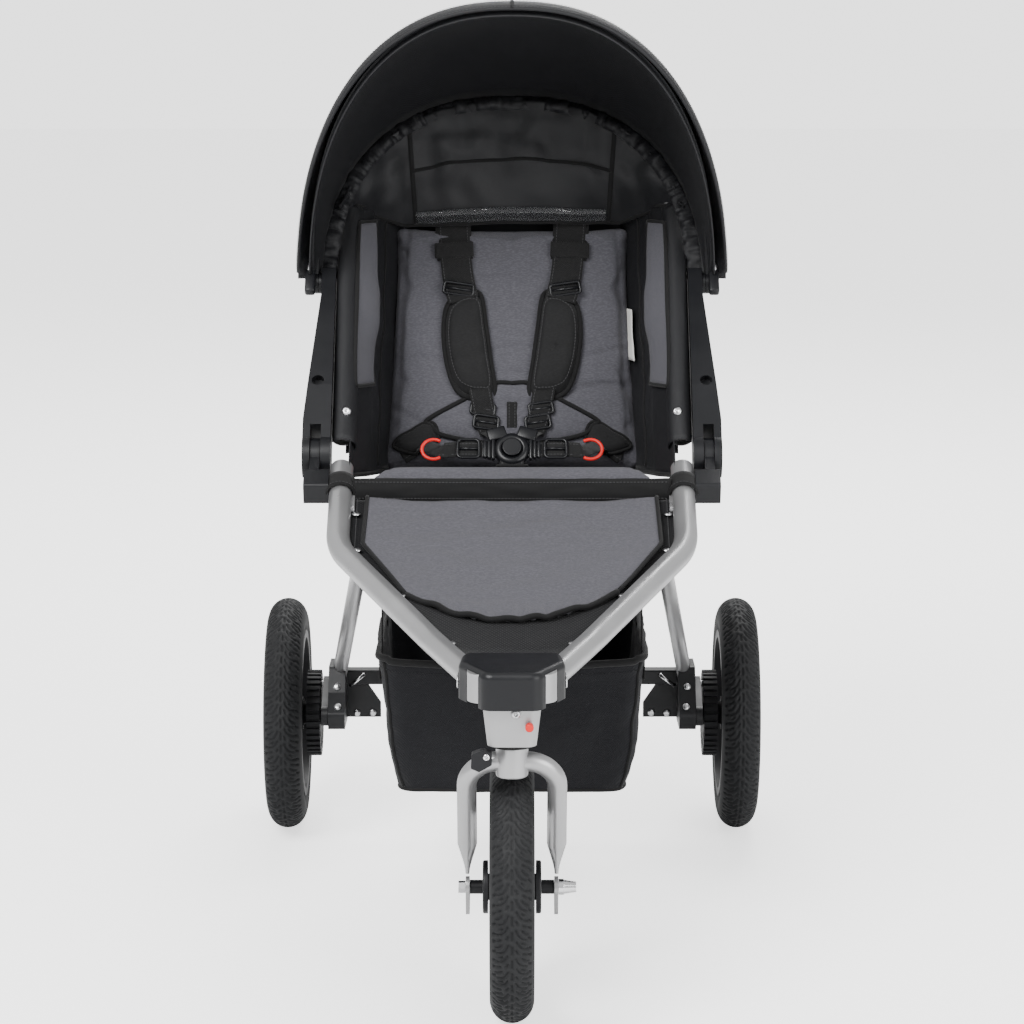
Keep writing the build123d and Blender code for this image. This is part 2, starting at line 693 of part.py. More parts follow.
rear_edge = (rear_half, rear_reach, rear_angle - 1)
seam_rear = (middle_half, middle_reach, middle_angle - 0.6)
seam_front = (middle_half, middle_reach, middle_angle + 0.6)
front_edge = (front_half, front_reach, front_angle + 0.3)
write(cover(rear_edge, seam_rear, 3.5), "canopy_rear_cover")
write(cover(seam_front, front_edge, 8.0), "canopy_front_cover")

# ---- seat ----------------------------------------------------------------------------------------------------
seat_front_y, seat_front_z = front_axle_y + 375, 548.0
seat_slope = math.degrees(math.atan2(crease_z - seat_front_z, crease_y - seat_front_y))
board_half = 164.0
bar_y, bar_radius = front_axle_y + 401, 8.0
back_pivot = on_back(-6, -back_thickness - 2)
back_pin_radius = 4.0
barrel_radius = 8.0
ear_in, ear_out = 154.0, board_half


def on_seat(s, n=0.0):
    """A point s back along the top of the seat cushion from its front edge, and n above it."""
    a = math.radians(seat_slope)
    y = seat_front_y + s * math.cos(a) - n * math.sin(a)
    return Vector(0, y, seat_front_z + s * math.sin(a) + n * math.cos(a))


seat_run = (Vector(0, crease_y, crease_z) - Vector(0, seat_front_y, seat_front_z)).length
under = -seat_thickness - seat_gap
bar_z = on_seat(27, under - seat_board - bar_radius + 0.5).Z
with BuildPart() as seat_base:
    with BuildSketch(Plane.YZ.offset(-board_half)) as board_side:
        with BuildLine():
            Polyline(
                side(on_seat(4, under)), side(on_seat(seat_run - 6, under)),
                side(on_seat(seat_run - 6, under - seat_board)),
                side(on_seat(4, under - seat_board)), close=True,
            )
        make_face()
    extrude(amount=2 * board_half)
    with BuildSketch(Plane.YZ.offset(-lug_x0 + seat_gap)) as cross_bar:
        with Locations((bar_y, bar_z)):
            Circle(bar_radius)
    extrude(amount=2 * (lug_x0 - seat_gap))
    for sign in (1, -1):
        with BuildSketch(Plane.YZ.offset(sign * ear_in)) as ear:
            with BuildLine():
                Polyline(
                    side(on_seat(seat_run - 50, under - 1)), side(on_seat(seat_run - 2, under - 1)),
                    side(back_pivot + Vector(0, 2, 9)),
                    side(back_pivot + Vector(0, 9, 0)), side(back_pivot + Vector(0, 0, -10)),
                    side(on_seat(seat_run - 50, under - 14)), close=True,
                )
            make_face()
        extrude(amount=sign * (ear_out - ear_in))
    with BuildSketch(Plane.YZ.offset(-ear_out)) as back_rod:
        with Locations(side(back_pivot)):
            Circle(back_pin_radius)
    extrude(amount=2 * ear_out)
write(seat_base.part, "seat_base")

with BuildPart() as seat_cushion:
    with BuildSketch(Plane.YZ.offset(-seat_width / 2)) as cushion_side:
        with BuildLine():
            Polyline(
                side(on_seat(0)), side(on_seat(seat_run - 3)), side(on_seat(seat_run - 3, -seat_thickness)),
                side(on_seat(0, -seat_thickness)), close=True,
            )
        make_face()
    extrude(amount=seat_width)
    fillet(seat_cushion.edges().filter_by(Axis.X), 8)
write(seat_cushion.part, "seat_cushion")

band_back, band_front = seat_front_y - 5.4, seat_front_y - 11.4
inner_x = lug_x0 - seat_gap
lug_front_y = leg_pivot_y - 76
with BuildPart() as seat_front_band:
    with BuildSketch(Plane.XZ.offset(-band_back)) as band_face:
        with Locations((0, seat_front_z - 13)):
            RectangleRounded(2 * inner_x, 36, 5)
    extrude(amount=band_back - band_front)
write(seat_front_band.part, "seat_front_band")

panel_low_y = steer_y + 56
with BuildPart() as foot_panel:
    with BuildSketch(Plane.YZ.offset(-side_tube_x)) as panel_side:
        with BuildLine():
            profile = [
                (band_front - 1, seat_front_z - 22), (tube_knee.Y, tube_knee.Z - 1), (tube_low.Y, tube_low.Z - 4),
                (panel_low_y, tube_start.Z - 1),
            ]
            Polyline(*profile, *[(y, z - 3) for y, z in reversed(profile)], close=True)
        make_face()
    extrude(amount=2 * side_tube_x)
    with BuildSketch(Plane.XY.offset(cover_low)) as panel_plan:
        with BuildLine():
            Polyline(
                (inner_x, seat_front_y), (inner_x, lug_front_y), (side_tube_x, lug_front_y),
                (side_tube_x, tube_knee.Y), (tube_low.X, tube_low.Y),
                (tube_start.X, tube_start.Y), (-tube_start.X, tube_start.Y), (-tube_low.X, tube_low.Y),
                (-side_tube_x, tube_knee.Y), (-side_tube_x, lug_front_y), (-inner_x, lug_front_y),
                (-inner_x, seat_front_y), close=True,
            )
        make_face()
    extrude(amount=160, mode=Mode.INTERSECT)
    add(socket, mode=Mode.SUBTRACT)
    add(mirror(socket, about=Plane.YZ), mode=Mode.SUBTRACT)
write(foot_panel.part.solids().sort_by(SortBy.VOLUME)[-1], "foot_panel")

# ---- backrest and harness ------------------------------------------------------------------------------------
grey_length = 338.0
back_low = 6.0
panel_gap = 1.0
board_low, board_thick = -10.0, 4.0
back_plane = Plane(origin=on_back(0), x_dir=(1, 0, 0), z_dir=on_back(0, 1) - on_back(0))


def back_half(t):
    """Half the width of the backrest at t up its front face."""
    return seat_width / 2 + (back_top_width - seat_width) / 2 * t / back_length


def back_outline(t0, t1, inset=0.0):
    """The corners of a length of the backrest in its own plane."""
    w0, w1 = back_half(t0) - inset, back_half(t1) - inset
    return [(-w0, t0), (w0, t0), (w1, t1), (-w1, t1)]


def back_slab(t0, t1, face, thick, edge):
    """A length of the backrest, from face down to face - thick, with rounded front edges."""
    with BuildPart() as slab:
        with BuildSketch(back_plane.offset(face)) as outline:
            with BuildLine():
                Polyline(*back_outline(t0, t1), close=True)
            make_face()
            fillet(outline.vertices(), 12)
        extrude(amount=-thick)
        fillet(slab.faces().sort_by(Axis((0, 0, 0), back_plane.z_dir))[-1].edges(), edge)
    return slab.part


write(back_slab(back_low, grey_length, 0, back_thickness, 8), "back_cushion")
write(back_slab(grey_length + panel_gap, back_length, -4, back_thickness - 4, 6), "back_head_panel")

with BuildPart() as back_board:
    with BuildSketch(back_plane.offset(-back_thickness - seat_gap)) as board_face:
        with BuildLine():
            Polyline(*back_outline(board_low, back_length - 4, 12), close=True)
        make_face()
    extrude(amount=-board_thick)
    with BuildSketch(Plane.YZ.offset(-ear_in - 10)) as notch:
        with Locations(side(back_pivot)):
            Circle(30)
    extrude(amount=20 - 0.5, mode=Mode.SUBTRACT)
    with BuildSketch(Plane.YZ.offset(ear_in + 10)) as notch_far:
        with Locations(side(back_pivot)):
            Circle(30)
    extrude(amount=-20 + 0.5, mode=Mode.SUBTRACT)
    with BuildSketch(Plane.YZ.offset(-ear_in + 1)) as barrel:
        with Locations(side(back_pivot)):
            Circle(barrel_radius)
    extrude(amount=2 * ear_in - 2)
    with BuildSketch(Plane.YZ.offset(-ear_out)) as barrel_bore:
        with Locations(side(back_pivot)):
            Circle(back_pin_radius + running)
    extrude(amount=2 * ear_out, mode=Mode.SUBTRACT)
write(back_board.part, "back_board")

pad_thick = 12.0
with BuildPart() as harness_pad:
    with BuildSketch(back_plane.offset(seat_gap)) as pad_face:
        with BuildLine():
            Polyline((26, 122), (72, 118), (86, 160), (84, 220), (74, 236), (40, 238), close=True)
        make_face()
        fillet(pad_face.vertices(), 8)
    extrude(amount=pad_thick)
    fillet(harness_pad.faces().sort_by(Axis((0, 0, 0), back_plane.z_dir))[-1].edges(), 4)
write_both_sides(harness_pad.part, "harness_pads")

with BuildPart() as waist_pad:
    with BuildSketch(back_plane.offset(seat_gap)) as waist_face:
        with BuildLine():
            Polyline((-108, 62), (108, 62), (100, 78), (26, 116), (-26, 116), (-100, 78), close=True)
        make_face()
        fillet(waist_face.vertices(), 6)
    extrude(amount=10)
    fillet(waist_pad.faces().sort_by(Axis((0, 0, 0), back_plane.z_dir))[-1].edges(), 3)
write(waist_pad.part, "waist_pad")

buckle_radius = 22.0
buckle_thick = 15.0
button_radius = 12.0
button_travel = 2.0
buckle_at = on_seat(150, 30)
buckle_plane = Plane(origin=buckle_at, x_dir=(1, 0, 0), z_dir=(0, -0.80, 0.60))
with BuildPart() as buckle:
    with BuildSketch(buckle_plane) as buckle_face:
        Circle(buckle_radius)
    extrude(amount=buckle_thick)
    fillet(buckle.edges(), 4)
    with BuildSketch(buckle_plane.offset(buckle_thick - 7)) as button_room:
        Circle(button_radius + 0.4)
    extrude(amount=8, mode=Mode.SUBTRACT)
    with BuildSketch(Plane.XY.offset(on_seat(176, seat_gap).Z + 0.9)) as strap_face:
        with Locations((0, on_seat(176, 0).Y + 2)):
            Rectangle(28, 5)
    extrude(amount=22)
write(buckle.part, "buckle")

with BuildPart() as buckle_button:
    with BuildSketch(buckle_plane.offset(buckle_thick - 4.5)) as button_face:
        Circle(button_radius)
    extrude(amount=5.5)
    fillet(buckle_button.edges(), 1)
write(buckle_button.part, "buckle_button")

# ---- basket --------------------------------------------------------------------------------------------------
basket_low, basket_high = 152.0, 330.0
basket_front_top, basket_rear_top = front_axle_y + 336, front_axle_y + 690
basket_front_low, basket_rear_low = front_axle_y + 378, front_axle_y + 650
basket_half_top, basket_half_low = 162.0, 140.0
corner = 24.0


def basket_shape(inset, low, high):
    """The basket's tapered shape, drawn in from its outside by inset."""
    with BuildPart() as shape:
        with BuildSketch(Plane.XY.offset(low)) as low_plan:
            with Locations((0, (basket_front_low + basket_rear_low) / 2)):
                RectangleRounded(
                    2 * (basket_half_low - inset), basket_rear_low - basket_front_low - 2 * inset, corner
                )
        with BuildSketch(Plane.XY.offset(high)) as high_plan:
            with Locations((0, (basket_front_top + basket_rear_top) / 2)):
                RectangleRounded(
                    2 * (basket_half_top - inset), basket_rear_top - basket_front_top - 2 * inset, corner
                )
        loft()
    return shape.part


hanger_x = 150.0
hanger_wide = 22.0
with BuildPart() as basket:
    add(basket_shape(0, basket_low, basket_high))
    add(basket_shape(basket_wall, basket_low + basket_wall, basket_high + 1), mode=Mode.SUBTRACT)
    strap_tops = (bar_y, bar_z - bar_radius - seat_gap), (crease_y - 40, on_seat(seat_run - 34, under - 14).Z - 4)
    for y, high in strap_tops:
        for sign in (1, -1):
            with BuildSketch(Plane.YZ.offset(sign * hanger_x)) as hanger:
                with Locations((y, (high + basket_high - 30) / 2)):
                    Rectangle(hanger_wide, high - basket_high + 30)
            extrude(amount=sign * 4)
            with BuildSketch(Plane.XY.offset(basket_high - 30)) as foot:
                with Locations((sign * (hanger_x + 7), y)):
                    Rectangle(14, hanger_wide)
            extrude(amount=30)
write(basket.part, "basket")

# ---- rear legs and suspension --------------------------------------------------------------------------------
leg_x = 177.0
bracket_in, bracket_out = 219.0, 241.0
leg_end = Vector(230, rear_axle_y, 200)
leg_head = Vector(leg_x, leg_pivot_y, leg_pivot_z)
leg_line = leg_end - leg_head


def leg_solid(wide, deep, start):
    """The left rear leg's straight length at a width and depth."""
    with BuildPart() as straight:
        with BuildSketch(Plane(origin=leg_head + leg_line * start, x_dir=(1, 0, 0), z_dir=leg_line)) as leg_face:
            RectangleRounded(wide, deep, wide / 2 - 0.2)
        extrude(amount=leg_line.length * (1 - start))
    return straight.part


with BuildPart() as rear_leg:
    add(leg_solid(18, 28, 0.02))
    with BuildSketch(Plane.YZ.offset(leg_x - 9)) as leg_boss:
        with Locations((leg_pivot_y, leg_pivot_z)):
            Circle(14)
    extrude(amount=lug_x0 - 2 - leg_x + 9)
    with BuildSketch(Plane.YZ.offset(leg_x - 20)) as leg_bore:
        with Locations((leg_pivot_y, leg_pivot_z)):
            Circle(leg_pin_radius + running)
    extrude(amount=50, mode=Mode.SUBTRACT)
write_pair(rear_leg.part, "rear_leg")

arm_pivot_y, arm_pivot_z = rear_axle_y - 66, 166.0
arm_pin_radius = 5.0
channel = 20.0
channel_z = 203.0
with BuildPart() as suspension_bracket:
    with BuildSketch(Plane.YZ.offset(bracket_in)) as bracket_side:
        with BuildLine():
            Polyline(
                (rear_axle_y - 40, 226), (rear_axle_y + 20, 222),
                (rear_axle_y + 32, 206), (rear_axle_y + 32, 168),
                (rear_axle_y + 6, 143), (rear_axle_y - 76, 150), (rear_axle_y - 86, 172), (rear_axle_y - 60, 196),
                close=True,
            )
        make_face()
        fillet(bracket_side.vertices(), 6)
    extrude(amount=bracket_out - bracket_in)
    with BuildSketch(Plane.XZ.offset(-(rear_axle_y - 2))) as gusset:
        with BuildLine():
            Polyline((bracket_in + 1, 192), (bracket_in + 1, 148), (174, 148), (174, 168), (190, 192), close=True)
        make_face()
    extrude(amount=4)
    add(leg_solid(18 + 2 * seat_gap, 28 + 2 * seat_gap, 0.5), mode=Mode.SUBTRACT)
    with BuildSketch(Plane.YZ.offset(bracket_in - 1)) as arm_bore:
        with Locations((arm_pivot_y, arm_pivot_z)):
            Circle(arm_pin_radius + running)
    extrude(amount=30, mode=Mode.SUBTRACT)
write_pair(suspension_bracket.part, "suspension_bracket")

pedal_pivot_y, pedal_pivot_z = rear_axle_y + 22, channel_z
pedal_pin_radius = 3.0
pedal_half = 55.0
with BuildPart() as rear_cross_tube:
    with BuildSketch(Plane.YZ.offset(-bracket_in + seat_gap)) as channel_face:
        with Locations((rear_axle_y, channel_z)):
            RectangleRounded(channel, channel, 3)
            RectangleRounded(channel - 4, channel - 4, 2, mode=Mode.SUBTRACT)
    extrude(amount=2 * (bracket_in - seat_gap))
    for sign in (1, -1):
        with BuildSketch(Plane.YZ.offset(sign * (pedal_half + side_gap))) as pedal_ear:
            with Locations((rear_axle_y + channel / 2 + 8, channel_z)):
                RectangleRounded(20, 16, 3)
        extrude(amount=sign * 6)
        with BuildSketch(Plane.YZ.offset(sign * (pedal_half - 10))) as pedal_pin:
            with Locations((pedal_pivot_y, pedal_pivot_z)):
                Circle(pedal_pin_radius)
        extrude(amount=sign * 15)
write(rear_cross_tube.part, "rear_cross_tube")

with BuildPart() as brake_pedal:
    with BuildSketch(Plane.YZ.offset(-pedal_half)) as pedal_barrel:
        with Locations((pedal_pivot_y, pedal_pivot_z)):
            Circle(8)
    extrude(amount=2 * pedal_half)
    with BuildSketch(Plane.XY.offset(pedal_pivot_z - 4)) as pedal_plan:
        with Locations((0, pedal_pivot_y + 24)):
            RectangleRounded(76, 48, 8)
    extrude(amount=7)
    with BuildSketch(Plane.YZ.offset(-pedal_half)) as pedal_bore:
        with Locations((pedal_pivot_y, pedal_pivot_z)):
            Circle(pedal_pin_radius + running)
    extrude(amount=2 * pedal_half, mode=Mode.SUBTRACT)
write(brake_pedal.part, "brake_pedal")

# ---- swing arms, rear wheels, brake --------------------------------------------------------------------------
plate_in, plate_out = bracket_out + side_gap, 250.0
wheel_x = rear_track / 2
stub_radius = 5.0
drum_in, drum_out = 253.0, 271.0
drum_radius = 57.0
drum_teeth = 12
pocket_at = 40.0
brake_pin_radius = 4.0
cap_x = wheel_x + tyre_width / 2 - 3
with BuildPart() as swing_arm:
    with BuildSketch(Plane.YZ.offset(plate_in)) as plate:
        with BuildLine():
            Polyline(
                (arm_pivot_y, arm_pivot_z + 13), (rear_axle_y - 8, axle_z + pocket_at + 8),
                (rear_axle_y + 8, axle_z + pocket_at + 8), (rear_axle_y + 16, axle_z),
                (rear_axle_y + 2, axle_z - 16), (arm_pivot_y, arm_pivot_z - 13), close=True,
            )
        make_face()
        with Locations((arm_pivot_y, arm_pivot_z)):
            Circle(13)
        with Locations((rear_axle_y, axle_z)):
            Circle(16)
        with Locations((rear_axle_y, axle_z + pocket_at)):
            Circle(brake_pin_radius + running, mode=Mode.SUBTRACT)
    extrude(amount=plate_out - plate_in)
    with BuildSketch(Plane.YZ.offset(bracket_in + 2)) as arm_pin:
        with Locations((arm_pivot_y, arm_pivot_z)):
            Circle(arm_pin_radius)
    extrude(amount=plate_out - bracket_in - 4)
    with BuildSketch(Plane.YZ.offset(plate_in + 2)) as stub:
        with Locations((rear_axle_y, axle_z)):
            Circle(stub_radius)
    extrude(amount=cap_x - 6 - plate_in - 2)
write_pair(swing_arm.part, "swing_arm")

with BuildPart() as brake_pin:
    with BuildSketch(Plane.YZ.offset(plate_in + 0.3)) as brake_pin_face:
        with Locations((rear_axle_y, axle_z + pocket_at)):
            Circle(brake_pin_radius)
    extrude(amount=drum_in - 0.5 - plate_in - 0.3)
write_pair(brake_pin.part, "brake_pin")

with BuildPart() as brake_drum:
    with BuildSketch(Plane.YZ.offset(drum_in)) as drum_face:
        with Locations((rear_axle_y, axle_z)):
            Circle(drum_radius - 3)
            with PolarLocations(drum_radius - 4, 36):
                Rectangle(8, 5)
    extrude(amount=drum_out - drum_in)
    with BuildSketch(Plane.YZ.offset(drum_in - 1)) as pockets:
        with Locations((rear_axle_y, axle_z)):
            with PolarLocations(pocket_at, drum_teeth):
                RectangleRounded(13, 9.6, 2)
    extrude(amount=9, mode=Mode.SUBTRACT)
    with BuildSketch(Plane.YZ.offset(drum_out - 1)) as hub_tube:
        with Locations((rear_axle_y, axle_z)):
            Circle(hub_bore)
    extrude(amount=cap_x - drum_out + 1)
    with BuildSketch(Plane.YZ.offset(drum_in - 1)) as drum_bore:
        with Locations((rear_axle_y, axle_z)):
            Circle(stub_radius + running)
    extrude(amount=cap_x - 3 - drum_in, mode=Mode.SUBTRACT)
write_pair(brake_drum.part, "brake_drum")
write_pair(tyre_at(wheel_x, rear_axle_y), "rear_tyre")
write_pair(rim_at(wheel_x, rear_axle_y), "rear_rim")
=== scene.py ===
"""Looks for a three-wheel baby stroller: cloth, webbing, tread, small hardware, materials, floor and light.

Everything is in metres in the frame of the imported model: +Z up, -Y the way it rolls, +X the rider's left.
"""

import json
import math

import bpy
import numpy as np
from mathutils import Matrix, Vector, noise
from mathutils.bvhtree import BVHTree


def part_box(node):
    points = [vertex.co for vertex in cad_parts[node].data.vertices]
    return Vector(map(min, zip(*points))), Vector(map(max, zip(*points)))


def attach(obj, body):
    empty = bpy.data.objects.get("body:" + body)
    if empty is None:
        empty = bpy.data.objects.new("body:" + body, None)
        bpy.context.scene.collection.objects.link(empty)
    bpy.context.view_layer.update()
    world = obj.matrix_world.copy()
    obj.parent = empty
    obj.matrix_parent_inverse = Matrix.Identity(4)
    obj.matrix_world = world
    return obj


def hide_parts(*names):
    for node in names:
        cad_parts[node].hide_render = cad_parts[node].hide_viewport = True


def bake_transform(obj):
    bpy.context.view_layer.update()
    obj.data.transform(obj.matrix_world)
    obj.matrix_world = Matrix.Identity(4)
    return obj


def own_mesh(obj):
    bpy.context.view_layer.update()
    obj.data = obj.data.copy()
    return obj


bl_info = {
    "name": "Three-Wheel Stroller",
    "version": (1, 0, 0),
    "blender": (4, 5, 0),
    "location": "View3D > Sidebar > Stroller",
    "description": "Builds the soft goods, trim, materials and studio of a three-wheel stroller",
    "category": "Object",
}

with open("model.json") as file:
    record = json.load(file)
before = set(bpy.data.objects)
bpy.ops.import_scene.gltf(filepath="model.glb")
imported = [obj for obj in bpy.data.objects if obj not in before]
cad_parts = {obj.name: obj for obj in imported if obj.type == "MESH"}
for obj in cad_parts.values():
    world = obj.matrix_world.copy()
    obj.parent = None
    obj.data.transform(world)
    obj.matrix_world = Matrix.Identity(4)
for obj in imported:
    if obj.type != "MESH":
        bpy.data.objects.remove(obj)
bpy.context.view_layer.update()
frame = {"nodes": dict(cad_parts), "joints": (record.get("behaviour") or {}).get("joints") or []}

# ---- places taken from the frame ----------------------------------------------------------------------------
JOINTS = {joint["name"]: joint for joint in frame["joints"]}
FOLD = Vector(JOINTS["fold"]["pos_m"])
HOOD = Vector(JOINTS["canopy_fold"]["pos_m"])
KNUCKLE = Vector(JOINTS["handle_tilt"]["pos_m"])
RECLINE = Vector(JOINTS["recline"]["pos_m"])
AXLE = Vector(JOINTS["front_wheel_spin"]["pos_m"])
UP = (KNUCKLE - FOLD).normalized()
OUT = Vector((0, -UP.z, UP.y))
BACK_TILT = math.radians(65.5)
BACK_UP = Vector((0, math.cos(BACK_TILT), math.sin(BACK_TILT)))
BACK_OUT = Vector((0, -BACK_UP.z, BACK_UP.y))
SEAT_FRONT = Vector((0, AXLE.y + 0.375, 0.548))
CREASE = Vector((0, AXLE.y + 0.617, 0.500))
SEAT_RUN = (CREASE - SEAT_FRONT).normalized()
SEAT_OUT = Vector((0, -SEAT_RUN.z, SEAT_RUN.y))
SIDES = (("left", 1), ("right", -1))


def at(x, behind, z):
    """A point given in millimetres: across, behind the front axle, and up."""
    return Vector((x / 1000, AXLE.y + behind / 1000, z / 1000))


def on_back(x, t, n=0.0):
    """A point on the backrest in millimetres: across, up its face, and in front of it."""
    return RECLINE + Vector((x / 1000, 0, 0)) + BACK_UP * ((t + 6) / 1000) + BACK_OUT * ((n + 28) / 1000)


def on_seat(x, s, n=0.0):
    """A point on the seat in millimetres: across, back from the front edge, and above the cushion's top."""
    return SEAT_FRONT + Vector((x / 1000, 0, 0)) + SEAT_RUN * (s / 1000) + SEAT_OUT * (n / 1000)


def along(x, s, n=0.0):
    """A point by an upright in millimetres: across, up from the fold pivot, and above its centre line."""
    return FOLD + Vector((x / 1000, 0, 0)) + UP * (s / 1000) + OUT * (n / 1000)


# ---- settings -----------------------------------------------------------------------------------------------
class StrollerColours(bpy.types.PropertyGroup):
    """Colours of the stroller's finishes."""

    black_cloth: bpy.props.FloatVectorProperty(
        name="Black Cloth", description="Colour of the hood, side panels and basket", subtype="COLOR", size=3,
        min=0, max=1, default=(0.0045, 0.0047, 0.0062),
    )
    grey_cloth: bpy.props.FloatVectorProperty(
        name="Grey Cloth", description="Colour of the heather cloth on the seat", subtype="COLOR", size=3,
        min=0, max=1, default=(0.070, 0.069, 0.080),
    )
    black_plastic: bpy.props.FloatVectorProperty(
        name="Black Plastic", description="Colour of the hinges, brackets and rims", subtype="COLOR", size=3,
        min=0, max=1, default=(0.0065, 0.0068, 0.0082),
    )
    tube_paint: bpy.props.FloatVectorProperty(
        name="Tube Paint", description="Colour of the silver-grey powder coat", subtype="COLOR", size=3,
        min=0, max=1, default=(0.42, 0.42, 0.425),
    )
    red: bpy.props.FloatVectorProperty(
        name="Red", description="Colour of the tracking knob and harness rings", subtype="COLOR", size=3,
        min=0, max=1, default=(0.62, 0.018, 0.015),
    )


class StrollerSizes(bpy.types.PropertyGroup):
    """Sizes of the stroller's soft parts and trim."""

    cushion_pressure: bpy.props.FloatProperty(
        name="Cushion Pressure", description="How hard the cushions are filled", min=0, max=20, default=4.0
    )
    cushion_crown: bpy.props.FloatProperty(
        name="Cushion Crown", description="The furthest a cushion's face may swell", subtype="DISTANCE",
        unit="LENGTH", min=0, max=0.05, default=0.011,
    )
    strap_width: bpy.props.FloatProperty(
        name="Strap Width", description="Width of the harness webbing", subtype="DISTANCE", unit="LENGTH",
        min=0.01, max=0.06, default=0.025,
    )
    tread_depth: bpy.props.FloatProperty(
        name="Tread Depth", description="Depth of the grooves in the tyres", subtype="DISTANCE", unit="LENGTH",
        min=0, max=0.006, default=0.0024,
    )
    hood_sag: bpy.props.FloatProperty(
        name="Hood Sag", description="How far the hood dips between its hoops", subtype="DISTANCE", unit="LENGTH",
        min=0, max=0.05, default=0.006,
    )
    lens: bpy.props.FloatProperty(
        name="Lens", description="Focal length of the camera", subtype="DISTANCE_CAMERA", min=20, max=300,
        default=126.35,
    )


# ---- shader groups ------------------------------------------------------------------------------------------
def new_group(name, inputs, outputs):
    """A shader node group with its sockets, and its input and output nodes."""
    tree = bpy.data.node_groups.new(name, "ShaderNodeTree")
    for label, kind, default in inputs:
        socket = tree.interface.new_socket(label, in_out="INPUT", socket_type=kind)
        if default is not None:
            socket.default_value = default
    for label, kind in outputs:
        tree.interface.new_socket(label, in_out="OUTPUT", socket_type=kind)
    return tree, tree.nodes.new("NodeGroupInput"), tree.nodes.new("NodeGroupOutput")


def node(tree, kind, **values):
    """A new node with its properties and unlinked inputs set."""
    made = tree.nodes.new(kind)
    for key, value in values.items():
        if hasattr(made, key):
            setattr(made, key, value)
        else:
            made.inputs[key.replace("_", " ")].default_value = value
    return made


def maths(tree, operation, first, second=None):
    """A maths node whose inputs are sockets or numbers."""
    made = tree.nodes.new("ShaderNodeMath")
    made.operation = operation
    for i, value in enumerate((first, second)):
        if value is None:
            continue
        if isinstance(value, (int, float)):
            made.inputs[i].default_value = value
        else:
            tree.links.new(value, made.inputs[i])
    return made.outputs[0]


def mix_colour(tree, factor, first, second):
    """A colour mix whose inputs are sockets or values."""
    made = tree.nodes.new("ShaderNodeMix")
    made.data_type = "RGBA"
    for i, value in ((0, factor), (6, first), (7, second)):
        if isinstance(value, (int, float, tuple, list)):
            made.inputs[i].default_value = value
        else:
            tree.links.new(value, made.inputs[i])
    return made.outputs[2]


def build_weave():
    """Woven cloth: yarns crossing over and under, with a heather fleck and slow rumples."""
    tree, inp, out = new_group(
        "Cloth Weave",
        (
            ("Yarns per Metre", "NodeSocketFloat", 900.0), ("Fleck", "NodeSocketFloat", 0.3),
            ("Colour", "NodeSocketColor", (0.1, 0.1, 0.1, 1)),
            ("Fleck Colour", "NodeSocketColor", (0.2, 0.2, 0.2, 1)),
            ("Relief", "NodeSocketFloat", 0.3),
        ),
        (("Colour", "NodeSocketColor"), ("Normal", "NodeSocketVector"), ("Sheen", "NodeSocketFloat")),
    )
    where = tree.nodes.new("ShaderNodeTexCoord").outputs["Object"]
    parts = tree.nodes.new("ShaderNodeSeparateXYZ")
    tree.links.new(where, parts.inputs[0])
    rise = maths(tree, "ADD", parts.outputs["Y"], parts.outputs["Z"])
    turns = maths(tree, "MULTIPLY", inp.outputs[0], 3.14)
    across = maths(tree, "SINE", maths(tree, "MULTIPLY", parts.outputs["X"], turns))
    upward = maths(tree, "SINE", maths(tree, "MULTIPLY", rise, turns))
    cross = maths(tree, "MULTIPLY", across, upward)
    fleck = node(tree, "ShaderNodeTexNoise", Scale=1.0, Detail=2.0)
    stretch = node(tree, "ShaderNodeMapping")
    stretch.inputs["Scale"].default_value = (260, 900, 900)
    tree.links.new(where, stretch.inputs[0])
    tree.links.new(stretch.outputs[0], fleck.inputs["Vector"])
    ramp = node(tree, "ShaderNodeMapRange", From_Min=0.45, From_Max=0.62)
    tree.links.new(fleck.outputs["Fac"], ramp.inputs["Value"])
    amount = maths(tree, "MULTIPLY", ramp.outputs[0], inp.outputs["Fleck"])
    colour = mix_colour(tree, amount, inp.outputs["Colour"], inp.outputs["Fleck Colour"])
    slow = node(tree, "ShaderNodeTexNoise", Scale=14.0, Detail=3.0)
    tree.links.new(where, slow.inputs["Vector"])
    swell = maths(tree, "MULTIPLY", slow.outputs["Fac"], 3.0)
    height = maths(tree, "ADD", maths(tree, "MULTIPLY", cross, 0.5), swell)
    bump = node(tree, "ShaderNodeBump", Distance=0.0006)
    tree.links.new(inp.outputs["Relief"], bump.inputs["Strength"])
    tree.links.new(height, bump.inputs["Height"])
    tree.links.new(colour, out.inputs["Colour"])
    tree.links.new(bump.outputs[0], out.inputs["Normal"])
    tree.links.new(slow.outputs["Fac"], out.inputs["Sheen"])


